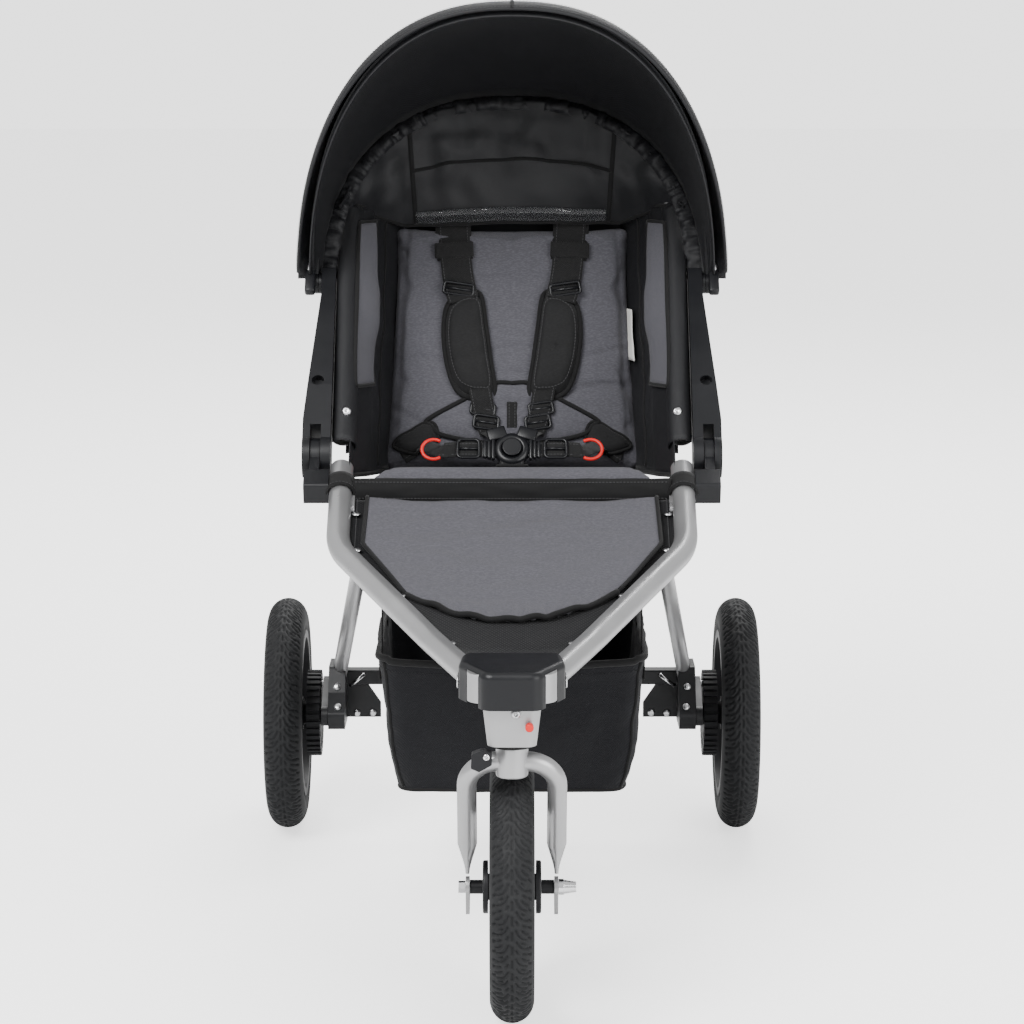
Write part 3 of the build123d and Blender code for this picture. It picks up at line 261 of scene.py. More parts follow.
def build_grain():
    """Moulded grain or powder-coat orange peel over softened edges, with uneven roughness."""
    tree, inp, out = new_group(
        "Surface Grain",
        (
            ("Grain Size", "NodeSocketFloat", 1400.0), ("Relief", "NodeSocketFloat", 0.2),
            ("Roughness", "NodeSocketFloat", 0.5), ("Edge Radius", "NodeSocketFloat", 0.0008),
        ),
        (("Roughness", "NodeSocketFloat"), ("Normal", "NodeSocketVector")),
    )
    where = tree.nodes.new("ShaderNodeTexCoord").outputs["Object"]
    fine = node(tree, "ShaderNodeTexNoise", Detail=2.0)
    tree.links.new(where, fine.inputs["Vector"])
    tree.links.new(inp.outputs["Grain Size"], fine.inputs["Scale"])
    broad = node(tree, "ShaderNodeTexNoise", Scale=22.0, Detail=4.0)
    tree.links.new(where, broad.inputs["Vector"])
    spread = node(tree, "ShaderNodeMapRange", From_Min=0.3, From_Max=0.7, To_Min=-0.07, To_Max=0.07)
    tree.links.new(broad.outputs["Fac"], spread.inputs["Value"])
    tree.links.new(maths(tree, "ADD", inp.outputs["Roughness"], spread.outputs[0]), out.inputs["Roughness"])
    soft = node(tree, "ShaderNodeBevel", samples=4)
    tree.links.new(inp.outputs["Edge Radius"], soft.inputs["Radius"])
    bump = node(tree, "ShaderNodeBump", Distance=0.0003)
    tree.links.new(inp.outputs["Relief"], bump.inputs["Strength"])
    tree.links.new(fine.outputs["Fac"], bump.inputs["Height"])
    tree.links.new(soft.outputs[0], bump.inputs["Normal"])
    tree.links.new(bump.outputs[0], out.inputs["Normal"])


def build_wear():
    """A mask of scuffed edges, found where a rounded normal leaves the true one, broken up by noise."""
    tree, inp, out = new_group("Edge Wear", (("Amount", "NodeSocketFloat", 0.5),), (("Mask", "NodeSocketFloat"),))
    soft = node(tree, "ShaderNodeBevel", samples=4)
    soft.inputs["Radius"].default_value = 0.0012
    true = tree.nodes.new("ShaderNodeNewGeometry")
    dot = tree.nodes.new("ShaderNodeVectorMath")
    dot.operation = "DOT_PRODUCT"
    tree.links.new(soft.outputs[0], dot.inputs[0])
    tree.links.new(true.outputs["Normal"], dot.inputs[1])
    edge = node(tree, "ShaderNodeMapRange", From_Min=0.995, From_Max=0.90)
    tree.links.new(dot.outputs["Value"], edge.inputs["Value"])
    patchy = node(tree, "ShaderNodeTexNoise", Scale=60.0, Detail=5.0)
    tree.links.new(tree.nodes.new("ShaderNodeTexCoord").outputs["Object"], patchy.inputs["Vector"])
    gate = node(tree, "ShaderNodeMapRange", From_Min=0.48, From_Max=0.66)
    tree.links.new(patchy.outputs["Fac"], gate.inputs["Value"])
    mask = maths(tree, "MULTIPLY", maths(tree, "MULTIPLY", edge.outputs[0], gate.outputs[0]), inp.outputs["Amount"])
    tree.links.new(mask, out.inputs["Mask"])


def build_dust():
    """A mask of dust that settles on what faces up and near the ground."""
    tree, inp, out = new_group("Settled Dust", (("Amount", "NodeSocketFloat", 0.3),), (("Mask", "NodeSocketFloat"),))
    geometry = tree.nodes.new("ShaderNodeNewGeometry")
    facing = tree.nodes.new("ShaderNodeSeparateXYZ")
    tree.links.new(geometry.outputs["Normal"], facing.inputs[0])
    where = tree.nodes.new("ShaderNodeTexCoord").outputs["Object"]
    place = tree.nodes.new("ShaderNodeSeparateXYZ")
    tree.links.new(where, place.inputs[0])
    low = node(tree, "ShaderNodeMapRange", From_Min=0.45, From_Max=0.0, To_Min=0.25, To_Max=1.0)
    tree.links.new(place.outputs["Z"], low.inputs["Value"])
    up = node(tree, "ShaderNodeMapRange", From_Min=-0.2, From_Max=0.9)
    tree.links.new(facing.outputs["Z"], up.inputs["Value"])
    patchy = node(tree, "ShaderNodeTexNoise", Scale=35.0, Detail=6.0)
    tree.links.new(where, patchy.inputs["Vector"])
    mask = maths(tree, "MULTIPLY", maths(tree, "MULTIPLY", low.outputs[0], up.outputs[0]), patchy.outputs["Fac"])
    tree.links.new(maths(tree, "MULTIPLY", mask, inp.outputs["Amount"]), out.inputs["Mask"])


# ---- materials ----------------------------------------------------------------------------------------------
MATERIALS = {}


def start_material(name):
    """An empty node material, with its tree and its Principled shader."""
    material = bpy.data.materials.new(name)
    material.use_nodes = True
    MATERIALS[name] = material
    return material, material.node_tree, material.node_tree.nodes["Principled BSDF"]


def use_group(tree, name, **values):
    """A group node with its unlinked inputs set."""
    made = tree.nodes.new("ShaderNodeGroup")
    made.node_tree = bpy.data.node_groups[name]
    for key, value in values.items():
        made.inputs[key.replace("_", " ")].default_value = value
    return made


def cloth(name, colour, yarns, fleck=0.0, fleck_colour=None, roughness=0.85, relief=0.35, sheen=0.08, shine=0.25):
    """A woven cloth."""
    material, tree, shader = start_material(name)
    weave = use_group(
        tree, "Cloth Weave", Yarns_per_Metre=yarns, Fleck=fleck, Colour=(*colour, 1),
        Fleck_Colour=(*(fleck_colour or colour), 1), Relief=relief,
    )
    dust = use_group(tree, "Settled Dust", Amount=0.02)
    shader.inputs["Roughness"].default_value = roughness
    shader.inputs["Sheen Weight"].default_value = sheen
    shader.inputs["Specular IOR Level"].default_value = shine
    shader.inputs["Sheen Roughness"].default_value = 0.45
    tint = mix_colour(tree, dust.outputs[0], weave.outputs["Colour"], (0.35, 0.33, 0.30, 1))
    tree.links.new(tint, shader.inputs["Base Color"])
    tree.links.new(weave.outputs["Normal"], shader.inputs["Normal"])
    return material


def hard(
    name, colour, roughness, metallic=0.0, grain=1400.0, relief=0.15, wear=0.3, worn=None, dust=0.1,
    edge=0.0008, shine=0.3,
):
    """A moulded, painted or plated surface."""
    material, tree, shader = start_material(name)
    surface = use_group(
        tree, "Surface Grain", Grain_Size=grain, Relief=relief, Roughness=roughness, Edge_Radius=edge
    )
    scuffs = use_group(tree, "Edge Wear", Amount=wear)
    settled = use_group(tree, "Settled Dust", Amount=dust)
    shader.inputs["Metallic"].default_value = metallic
    shader.inputs["Specular IOR Level"].default_value = 0.5 if metallic else shine
    worn_colour = worn or tuple(min(1, c * 2.2 + 0.02) for c in colour)
    tint = mix_colour(tree, scuffs.outputs[0], (*colour, 1), (*worn_colour, 1))
    tint = mix_colour(tree, settled.outputs[0], tint, (0.33, 0.31, 0.28, 1))
    tree.links.new(tint, shader.inputs["Base Color"])
    tree.links.new(surface.outputs["Roughness"], shader.inputs["Roughness"])
    tree.links.new(surface.outputs["Normal"], shader.inputs["Normal"])
    return material


def clear_film(name):
    """Clear flexible film that shows mostly by its shine."""
    material, tree, shader = start_material(name)
    shader.inputs["Base Color"].default_value = (0.05, 0.052, 0.055, 1)
    shader.inputs["Roughness"].default_value = 0.16
    shader.inputs["Alpha"].default_value = 0.35
    shader.inputs["Coat Weight"].default_value = 0.6
    ripple = node(tree, "ShaderNodeTexNoise", Scale=38.0, Detail=3.0)
    bump = node(tree, "ShaderNodeBump", Distance=0.004, Strength=0.5)
    tree.links.new(tree.nodes.new("ShaderNodeTexCoord").outputs["Object"], ripple.inputs["Vector"])
    tree.links.new(ripple.outputs["Fac"], bump.inputs["Height"])
    tree.links.new(bump.outputs[0], shader.inputs["Normal"])
    return material


def glow_for_camera(material, strength):
    """Brightens a surface in the picture without lighting what stands on it."""
    tree = material.node_tree
    shader = tree.nodes["Principled BSDF"]
    shader.inputs["Emission Color"].default_value = (1, 1, 1, 1)
    seen = maths(tree, "MULTIPLY", tree.nodes.new("ShaderNodeLightPath").outputs["Is Camera Ray"], strength)
    tree.links.new(seen, shader.inputs["Emission Strength"])


def pairs(*names):
    """The left and right node names of each name."""
    return [f"{name}_{side}" for side, _ in SIDES for name in names]


def build_materials():
    """All node groups and materials."""
    colours = bpy.context.scene.stroller_colours
    build_weave()
    build_grain()
    build_wear()
    build_dust()
    black, grey, plastic = tuple(colours.black_cloth), tuple(colours.grey_cloth), tuple(colours.black_plastic)
    paint = tuple(colours.tube_paint)
    cloth(
        "hood_cloth", black, 1500, fleck=0.1, fleck_colour=(0.013, 0.013, 0.014), roughness=0.55, sheen=0.02,
        shine=0.4,
    )
    cloth(
        "basket_cloth", tuple(c * 1.1 for c in black), 700, fleck=0.15, fleck_colour=(0.014, 0.014, 0.0145),
        relief=0.6,
    )
    cloth("heather_cloth", grey, 1500, fleck=0.42, fleck_colour=(0.122, 0.120, 0.136), roughness=0.9, relief=0.5)
    cloth("pad_cloth", (0.010, 0.010, 0.0105), 900, fleck=0.3, fleck_colour=(0.02, 0.02, 0.021), relief=0.5)
    cloth("binding_cloth", (0.005, 0.005, 0.0053), 1100, roughness=0.8, relief=0.5)
    cloth("webbing", (0.008, 0.008, 0.0083), 620, fleck=0.3, fleck_colour=(0.02, 0.02, 0.02), relief=0.9)
    cloth("net_cloth", (0.004, 0.0041, 0.005), 420, fleck=0.3, fleck_colour=(0.012, 0.012, 0.014), relief=1.0)
    cloth("thread", (0.045, 0.045, 0.047), 2500, roughness=0.7)
    cloth("label_cloth", (0.72, 0.71, 0.68), 1800, roughness=0.9)
    hard("tyre_rubber", (0.008, 0.0085, 0.0095), 0.7, grain=900, relief=0.25, wear=0.0, dust=0.03, edge=0.0003)
    hard("nylon_black", plastic, 0.4, grain=1700, relief=0.16, wear=0.08, dust=0.015)
    hard("nylon_smooth", plastic, 0.3, grain=700, relief=0.05, wear=0.05, dust=0.015)
    hard("rim_black", tuple(c * 1.1 for c in plastic), 0.48, grain=1500, relief=0.2, wear=0.15, dust=0.05)
    hard("drum_black", tuple(c * 1.3 for c in plastic), 0.6, grain=1200, relief=0.3, wear=0.2, dust=0.04)
    hard("tube_paint", paint, 0.34, metallic=0.75, grain=1900, relief=0.1, wear=0.25, worn=(0.6, 0.6, 0.6), dust=0.05)
    hard(
        "cast_paint", tuple(c * 0.95 for c in paint), 0.42, metallic=0.7, grain=1100, relief=0.22, wear=0.5,
        worn=(0.7, 0.7, 0.7),
    )
    hard("zinc_steel", (0.6, 0.6, 0.61), 0.3, metallic=1.0, grain=800, relief=0.08, wear=0.3, dust=0.05)
    hard("bright_chrome", (0.82, 0.82, 0.83), 0.1, metallic=1.0, grain=300, relief=0.01, wear=0.0, dust=0.03)
    hard("red_plastic", tuple(colours.red), 0.36, grain=900, relief=0.05, wear=0.25, dust=0.05)
    hard("foam_grip", (0.02, 0.02, 0.021), 0.95, grain=2600, relief=0.8, wear=0.0, dust=0.1, edge=0.002)
    hard("seal_rubber", (0.014, 0.014, 0.014), 0.7, wear=0.0)
    hard("studio_floor", (0.93, 0.93, 0.93), 0.7, grain=60, relief=0.01, wear=0.0, dust=0.0, edge=0.0)
    glow_for_camera(MATERIALS["studio_floor"], 1.5)
    clear_film("clear_film")
    dress = {
        "nylon_black": [
            "head_cover", "swivel_latch", "rear_cross_tube", "brake_pedal", "canopy_rear_hoop", "canopy_middle_hoop",
            "canopy_front_hoop", "front_hub", "front_axle_spacers", "seat_base", "back_board",
        ] + pairs("fold_housing", "upper_arm", "suspension_bracket", "swing_arm"),
        "rim_black": ["front_rim", "rear_rim_left", "rear_rim_right"],
        "drum_black": ["brake_drum_left", "brake_drum_right"],
        "tube_paint": ["fork", "handlebar"] + pairs("front_tube", "upright", "rear_leg"),
        "cast_paint": ["head_block"],
        "zinc_steel": ["front_axle", "front_axle_nut", "frame_pins", "canopy_pins"] + pairs("brake_pin"),
        "bright_chrome": ["front_axle_knob"],
        "red_plastic": ["tracking_knob"],
        "nylon_smooth": ["buckle_button"],
        "seal_rubber": ["head_seal"],
        "foam_grip": ["handle_grip"],
    }
    for material, nodes in dress.items():
        for name in nodes:
            piece = frame["nodes"][name]
            piece.data.materials.clear()
            piece.data.materials.append(MATERIALS[material])


# ---- mesh helpers -------------------------------------------------------------------------------------------
def add_mesh(name, points, faces, material, smooth=True):
    """A mesh object from points and faces."""
    mesh = bpy.data.meshes.new(name)
    mesh.from_pydata([tuple(p) for p in points], [], faces)
    mesh.polygons.foreach_set("use_smooth", [smooth] * len(mesh.polygons))
    mesh.update()
    piece = bpy.data.objects.new(name, mesh)
    bpy.context.scene.collection.objects.link(piece)
    mesh.materials.append(MATERIALS[material])
    return piece


def grid_faces(rows, columns, close_rows=False, close_columns=False):
    """The quads of a grid of points kept row by row."""
    faces = []
    for i in range(rows if close_rows else rows - 1):
        for j in range(columns if close_columns else columns - 1):
            k, m = (i + 1) % rows, (j + 1) % columns
            faces.append((i * columns + j, i * columns + m, k * columns + m, k * columns + j))
    return faces


def sheet_mesh(name, rows, material, thickness=0.0016):
    """A cloth sheet with two faces, from rows of points."""
    count, width = len(rows), len(rows[0])
    points = [p for row in rows for p in row]
    piece = add_mesh(name, points, grid_faces(count, width), material)
    solid = piece.modifiers.new("Thickness", "SOLIDIFY")
    solid.thickness = thickness
    solid.offset = 0
    return piece


def smooth_path(points, steps=8, closed=False):
    """A Catmull-Rom curve through points."""
    points = [Vector(p) for p in points]
    count = len(points)
    out = []
    for i in range(count if closed else count - 1):
        if closed:
            p = [points[(i + k) % count] for k in (-1, 0, 1, 2)]
        else:
            p = [points[max(0, min(count - 1, i + k))] for k in (-1, 0, 1, 2)]
        for j in range(steps):
            t = j / steps
            out.append(
                0.5 * (2 * p[1] + (p[2] - p[0]) * t + (2 * p[0] - 5 * p[1] + 4 * p[2] - p[3]) * t * t
                       + (3 * p[1] - p[0] - 3 * p[2] + p[3]) * t ** 3)
            )
    if not closed:
        out.append(points[-1])
    return out


def ribbon(name, path, facing, width, thick, material, closed=False):
    """A flat strap along a path. facing is its normal, one vector or one for each point."""
    section = [
        (-0.5, 0.2), (-0.44, 0.5), (0.44, 0.5), (0.5, 0.2), (0.5, -0.2), (0.44, -0.5), (-0.44, -0.5), (-0.5, -0.2),
    ]
    points = []
    count = len(path)
    for i, p in enumerate(path):
        if closed:
            run = path[(i + 1) % count] - path[i - 1]
        else:
            run = path[min(i + 1, count - 1)] - path[max(i - 1, 0)]
        run.normalize()
        normal = facing[i] if isinstance(facing, list) else facing
        across = run.cross(normal).normalized()
        upward = across.cross(run).normalized()
        points += [p + across * (a * width) + upward * (b * thick) for a, b in section]
    faces = grid_faces(count, len(section), closed, True)
    if not closed:
        faces += [tuple(range(7, -1, -1)), tuple(range((count - 1) * 8, count * 8))]
    return add_mesh(name, points, faces, material)


def tube(name, path, radius, material, closed=False, sides=12):
    """A round rod or cord of thread along a path."""
    points = []
    count = len(path)
    last = None
    for i, p in enumerate(path):
        if closed:
            run = path[(i + 1) % count] - path[i - 1]
        else:
            run = path[min(i + 1, count - 1)] - path[max(i - 1, 0)]
        run.normalize()
        if last is None:
            last = run.orthogonal().normalized()
        last = (last - run * last.dot(run)).normalized()
        other = run.cross(last)
        for j in range(sides):
            a = 2 * math.pi * j / sides
            points.append(p + (last * math.cos(a) + other * math.sin(a)) * radius)
    faces = grid_faces(count, sides, closed, True)
    if not closed:
        faces += [tuple(range(sides - 1, -1, -1)), tuple(range((count - 1) * sides, count * sides))]
    return add_mesh(name, points, faces, material)


def lathe(name, profile, centre, axis, material, sides=32):
    """A turned piece: profile is (distance along axis, radius) pairs, closed at its ends."""
    axis = Vector(axis).normalized()
    side = axis.orthogonal().normalized()
    other = axis.cross(side)
    points = []
    for h, r in profile:
        for j in range(sides):
            a = 2 * math.pi * j / sides
            points.append(Vector(centre) + axis * h + (side * math.cos(a) + other * math.sin(a)) * max(r, 1e-5))
    return add_mesh(name, points, grid_faces(len(profile), sides, False, True), material)


def screw(name, centre, axis, radius, material="zinc_steel"):
    """A button-head screw with a round socket."""
    r = radius
    profile = [
        (0, r), (r * 0.25, r), (r * 0.5, r * 0.82), (r * 0.62, r * 0.5), (r * 0.6, r * 0.42), (r * 0.1, r * 0.4),
        (r * 0.1, 0),
    ]
    return lathe(name, profile, centre, axis, material, 24)


def stitches(name, path, facing, pitch=0.0042, length=0.0028, radius=0.00045, material="thread"):
    """A row of stitches along a path, as one mesh."""
    points, faces = [], []
    travelled, nextat = 0.0, 0.0
    for i in range(len(path) - 1):
        a, b = path[i], path[i + 1]
        span = (b - a).length
        normal = facing[i] if isinstance(facing, list) else facing
        while nextat <= travelled + span and span > 1e-7:
            p = a.lerp(b, (nextat - travelled) / span)
            run = (b - a).normalized()
            across = run.cross(normal).normalized()
            base = len(points)
            for end, lift in ((-0.5, 0.0), (-0.25, 1.0), (0.25, 1.0), (0.5, 0.0)):
                for s in (-1, 1):
                    points.append(p + run * (end * length) + across * (s * radius) + normal * (lift * radius * 1.5))
            for k in range(3):
                q = base + 2 * k
                faces.append((q, q + 1, q + 3, q + 2))
            nextat += pitch
        travelled += span
    return add_mesh(name, points, faces, material)


def rounded_box(name, centre, axes, size, material, bevel=0.002):
    """A block with rounded edges: axes are its two first directions, size its full lengths."""
    u, v = Vector(axes[0]).normalized(), Vector(axes[1]).normalized()
    w = u.cross(v)
    points = []
    for i in (-0.5, 0.5):
        for j in (-0.5, 0.5):
            for k in (-0.5, 0.5):
                points.append(Vector(centre) + u * (i * size[0]) + v * (j * size[1]) + w * (k * size[2]))
    faces = [(0, 1, 3, 2), (4, 6, 7, 5), (0, 4, 5, 1), (2, 3, 7, 6), (0, 2, 6, 4), (1, 5, 7, 3)]
    piece = add_mesh(name, points, faces, material, smooth=True)
    rounding = piece.modifiers.new("Rounding", "BEVEL")
    rounding.width = bevel
    rounding.segments = 3
    return piece


def wobble(p, scale, amount, seed=0.0):
    """A smooth random offset at a point."""
    return noise.noise(Vector(p) * scale + Vector((seed, seed * 1.7, -seed))) * amount


# ---- wheels -------------------------------------------------------------------------------------------------
TREAD_PITCH = 0.0342
TREAD_LINES = (
    ((0, 3), (0, 13)), ((0, 20), (0, 30)),
    ((4.5, 1), (7, 7), (11, 11.5), (17, 13.5)),
    ((5, 14), (8, 20), (13, 24), (19, 25)),
    ((4.5, 25), (6.5, 29)),
    ((12, 2), (16, 6), (20, 7.5)), ((11, 16.5), (15, 19)), ((13, 30), (18, 33)),
    ((21.5, 12), (25, 14)), ((21.5, 24), (25, 26)), ((21.5, 33), (25, 35)),
)


def tread_distance(across, around):
    """The distance in millimetres from each grid point to the nearest groove's centre line."""
    pitch = TREAD_PITCH * 1000
    best = np.full(across.shape, 99.0)
    for side, shift in ((1, 0.0), (-1, pitch / 2)):
        for line in TREAD_LINES:
            if line[0][0] == 0 and side < 0:
                continue
            for (ax, ay), (bx, by) in zip(line[:-1], line[1:]):
                for wrap in (-pitch, 0, pitch):
                    px = across * side
                    py = (around + shift * (side < 0)) % pitch + wrap
                    dx, dy = bx - ax, by - ay
                    t = np.clip(((px - ax) * dx + (py - ay) * dy) / (dx * dx + dy * dy), 0, 1)
                    best = np.minimum(best, np.hypot(px - ax - t * dx, py - ay - t * dy))
    return best


def build_tyre(name, node_name, body):
    """A tyre with its tread cut in, over the casing's own size."""
    low, high = (Vector(c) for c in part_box(node_name))
    centre = (low + high) / 2
    radius, half = (high.z - low.z) / 2, (high.x - low.x) / 2
    tall = 0.026
    repeats = round(2 * math.pi * radius / TREAD_PITCH)
    around_count, section_count = repeats * 24, 84
    turn = np.linspace(0, 2 * math.pi, around_count, endpoint=False)
    section = np.linspace(math.radians(232), math.radians(-52), section_count)
    flat = np.cos(section), np.sin(section)
    arc = np.arctan2(flat[0], np.maximum(flat[1], -0.999)) * (half + tall) / 2 * 1000
    grid_arc, grid_turn = np.meshgrid(arc, turn)
    groove = tread_distance(grid_arc, grid_turn / (2 * math.pi) * repeats * TREAD_PITCH * 1000)
    depth = np.clip((1.55 - groove) / 0.9, 0, 1) * bpy.context.scene.stroller_sizes.tread_depth
    depth *= np.clip((34 - np.abs(grid_arc)) / 3, 0, 1)
    bead = np.abs(np.abs(grid_arc) - 36.5)
    depth -= np.clip((1.0 - bead) / 1.0, 0, 1) * 0.0006
    grid_section = np.broadcast_to(section, grid_arc.shape)
    local = 1 - depth / tall
    x = centre.x + half * np.cos(grid_section) * (1 - depth / half)
    r = radius - tall + tall * np.sin(grid_section) * local
    points = np.stack((x, centre.y + r * np.cos(grid_turn), centre.z + r * np.sin(grid_turn)), axis=-1).reshape(-1, 3)
    piece = add_mesh(name, points, grid_faces(around_count, section_count, True), "tyre_rubber")
    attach(piece, body)
    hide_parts(node_name)
    return piece


# ---- hood ---------------------------------------------------------------------------------------------------
HOOP_POWER = 2.3
HOOPS = {"rear": (0.2435, 0.260, 61.0), "middle": (0.248, 0.3374, 87.2), "front": (0.2525, 0.420, 120.3)}


def hoop_point(hoop, angle, out=0.0, lean=0.0, flare=0.0):
    """A point round a hoop at an angle from its left end, moved out from it and leaned by degrees."""
    half, reach, tilt = HOOPS[hoop]
    a = math.radians(angle)
    cos, sin = math.cos(a), max(0.0, math.sin(a))
    x = math.copysign(abs(cos) ** (2 / HOOP_POWER), cos) * (half + out + flare * (1 - sin) ** 2)
    rise = sin ** (2 / HOOP_POWER) * (reach + out)
    t = math.radians(tilt + lean)
    return HOOD + Vector((x, rise * math.cos(t), rise * math.sin(t)))


def hoop_normal(hoop, angle):
    """The direction out from a hoop."""
    return (hoop_point(hoop, angle, 0.01) - hoop_point(hoop, angle)).normalized()


def hood_panel(name, first, second, lean_first, lean_second, lift, node_name, flares):
    """One panel of the hood's skin between two hoops, dipping a little under tension."""
    sag = bpy.context.scene.stroller_sizes.hood_sag
    rows = []
    steps, columns = 22, 150
    for i in range(steps + 1):
        f = i / steps
        row = []
        for j in range(columns + 1):
            angle = 0.6 + 178.8 * j / columns
            a = hoop_point(first, angle, 0.0032, lean_first, flares[0])
            b = hoop_point(second, angle, 0.0032 + lift, lean_second, flares[1])
            p = a.lerp(b, f)
            normal = hoop_normal(second, angle)
            height = math.sin(math.radians(angle))
            dip = -sag * 4 * f * (1 - f) * (0.4 + 0.6 * height)
            pull = math.sin(angle * 0.9 + 3 * wobble(p, 9, 1)) * 0.0009 * 4 * f * (1 - f)
            row.append(p + normal * (dip + pull + wobble(p, 14, 0.0022) * 4 * f * (1 - f)))
        rows.append(row)
    piece = sheet_mesh(name, rows, "hood_cloth", 0.0014)
    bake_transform(piece)
    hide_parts(node_name)


def build_hood():
    """The hood's two panels, its lining, its bound front edge and seams."""
    hood_panel(
        "hood_front_skin", "middle", "front", 0.0, 0.9, 0.004,
        "canopy_front_cover", (0, 0.010),
    )
    hood_panel(
        "hood_rear_skin", "rear", "middle", -1.0, 0.0, 0.0,
        "canopy_rear_cover", (0, 0),
    )
    angles = [2 + 176 * i / 180 for i in range(181)]
    edge = [hoop_point("front", a, 0.0068, 1.2, 0.010) for a in angles]
    normals = [hoop_normal("front", a) for a in angles]
    band = ribbon("hood_edge_band", edge, normals, 0.015, 0.0042, "hood_cloth")
    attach(band, "canopy_front")
    for label, lean in (("front", 1.9), ("rear", 0.35)):
        row = [hoop_point("front", a, 0.0092, lean, 0.010) for a in angles]
        seam = stitches(f"hood_edge_stitches_{label}", row, normals)
        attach(seam, "canopy_front")
    rows = []
    for i in range(19):
        f = i / 18
        row = []
        for j in range(131):
            angle = 1.0 + 178 * j / 130
            a = hoop_point("rear", angle, -0.004, 0.2)
            b = hoop_point("front", angle, -0.0046, 0.2, 0.006)
            normal = hoop_normal("middle", angle)
            height = math.sin(math.radians(angle))
            arch = 4 * f * (1 - f)
            p = a.lerp(b, f) + normal * (0.030 * arch * height ** 2)
            row.append(p + normal * (wobble(p, 12, 0.003, 7) * arch))
        rows.append(row)
    lining = sheet_mesh("hood_lining", rows, "hood_cloth", 0.0012)
    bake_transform(lining)
    inner = [hoop_point("front", a, -0.0045, 0.6, 0.006) for a in angles]
    lining = ribbon("hood_hoop_sleeve", inner, normals, 0.020, 0.003, "hood_cloth")
    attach(lining, "canopy_front")
    hem_row = [p + n * -0.0019 + Vector((0, 0.006, 0)) for p, n in zip(inner, normals)]
    hem = stitches("hood_sleeve_stitches", hem_row, [-n for n in normals])
    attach(hem, "canopy_front")
    seam_path = [hoop_point("middle", a, 0.0052) for a in angles]
    piping = tube("hood_middle_seam", seam_path, 0.0022, "binding_cloth")
    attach(piping, "canopy_middle")
    patch = ribbon(
        "hood_top_seam", [hoop_point("front", 90, 0.0092, lean) for lean in (0.1, 0.8, 1.5, 2.2)],
        Vector((0, 0, 1)), 0.004, 0.0008, "binding_cloth",
    )
    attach(patch, "canopy_front")


def build_gather():
    """The gathered elastic edge at the rear hoop."""
    rows = []
    columns = 620
    frill_lines = (
        (0.0035, -2.6, 0.2), (0.0, -1.0, 0.7), (-0.006, 0.4, 1.0), (-0.014, 1.0, 1.0), (-0.021, 0.2, 0.6),
    )
    for k, (out, lean, amount) in enumerate(frill_lines):
        row = []
        for j in range(columns + 1):
            angle = 0.8 + 178.4 * j / columns
            p = hoop_point("rear", angle, out - 0.002, lean)
            wave = noise.noise(Vector((j * 0.085, k * 0.45, 3))) + 0.5 * noise.noise(Vector((j * 0.21, k * 0.8, 9)))
            row.append(p + Vector((0, -1, 0.35)) * (wave * 0.0085 * amount))
        rows.append(row)
    frill = sheet_mesh("hood_gathered_edge", rows, "hood_cloth", 0.0016)
    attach(frill, "upper_frame")


def curtain_point(fraction, drop):
    """A point on the rear curtain: fraction across from the left, drop from its top to its hem."""
    angle = 20 + 140 * fraction
    top = hoop_point("rear", angle, -0.012, 0.4)
    x = top.x * 1000
    side = max(0.0, (abs(x) - 148) / 76)
    low = on_back(x * 0.94, 334 - 8 * fraction, 24 - 10 * min(1.0, abs(x) / 150))
    if side:
        low.z += 0.034 * side
        low.y = low.y * (1 - side) + (top.y - 0.004) * side
        low.x = x * (0.94 + 0.05 * side) / 1000
    return top.lerp(low, drop)


def build_curtain():
    """The curtain behind the rider's head, with seams and a clear strip along its hem."""
    rows = []
    columns, steps = 160, 44
    for i in range(steps + 1):
        drop = i / steps
        row = []
        for j in range(columns + 1):
            f = j / columns
            p = curtain_point(f, drop)
            fold = math.sin(f * 60 + 5 * noise.noise(Vector((f * 5, drop * 1.5, 1)))) * 0.0022 * (1 - 0.5 * drop)
            slack = 0.008 * math.sin(math.pi * drop)
            rumple = wobble(p, 13, 0.016, 2) + wobble(p, 34, 0.006, 5)
            row.append(p + BACK_OUT * (fold + slack + rumple * math.sin(math.pi * min(1, drop + 0.12))))
        rows.append(row)
    curtain = sheet_mesh("rear_curtain", rows, "hood_cloth", 0.0014)
    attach(curtain, "upper_frame")
    for label, column in (("left", 44), ("right", 116)):
        path = [rows[i][column] + BACK_OUT * 0.0018 for i in range(0, steps + 1)]
        seam = ribbon(f"curtain_seam_{label}", path, BACK_OUT, 0.006, 0.0014, "binding_cloth")
        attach(seam, "upper_frame")
    level = steps // 2
    path = [rows[level][j] + BACK_OUT * 0.0018 for j in range(44, 117)]
    seam = ribbon("curtain_seam_level", path, BACK_OUT, 0.005, 0.0014, "binding_cloth")
    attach(seam, "upper_frame")
    hem = [rows[-1][j] for j in range(2, columns - 1)]
    edge = tube("curtain_hem", hem, 0.0025, "binding_cloth")
    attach(edge, "upper_frame")
    film_rows = []
    for i in range(7):
        lift = i / 6
        row = rows[-1 - round(lift * 5)]
        bow = 0.004 + 0.004 * math.sin(math.pi * lift)
        film_rows.append(
            [row[j] + BACK_OUT * (bow + wobble(rows[-1][j], 25, 0.002, 9)) for j in range(45, 117)]
        )
    film = sheet_mesh("curtain_clear_strip", film_rows, "clear_film", 0.0008)
    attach(film, "upper_frame")


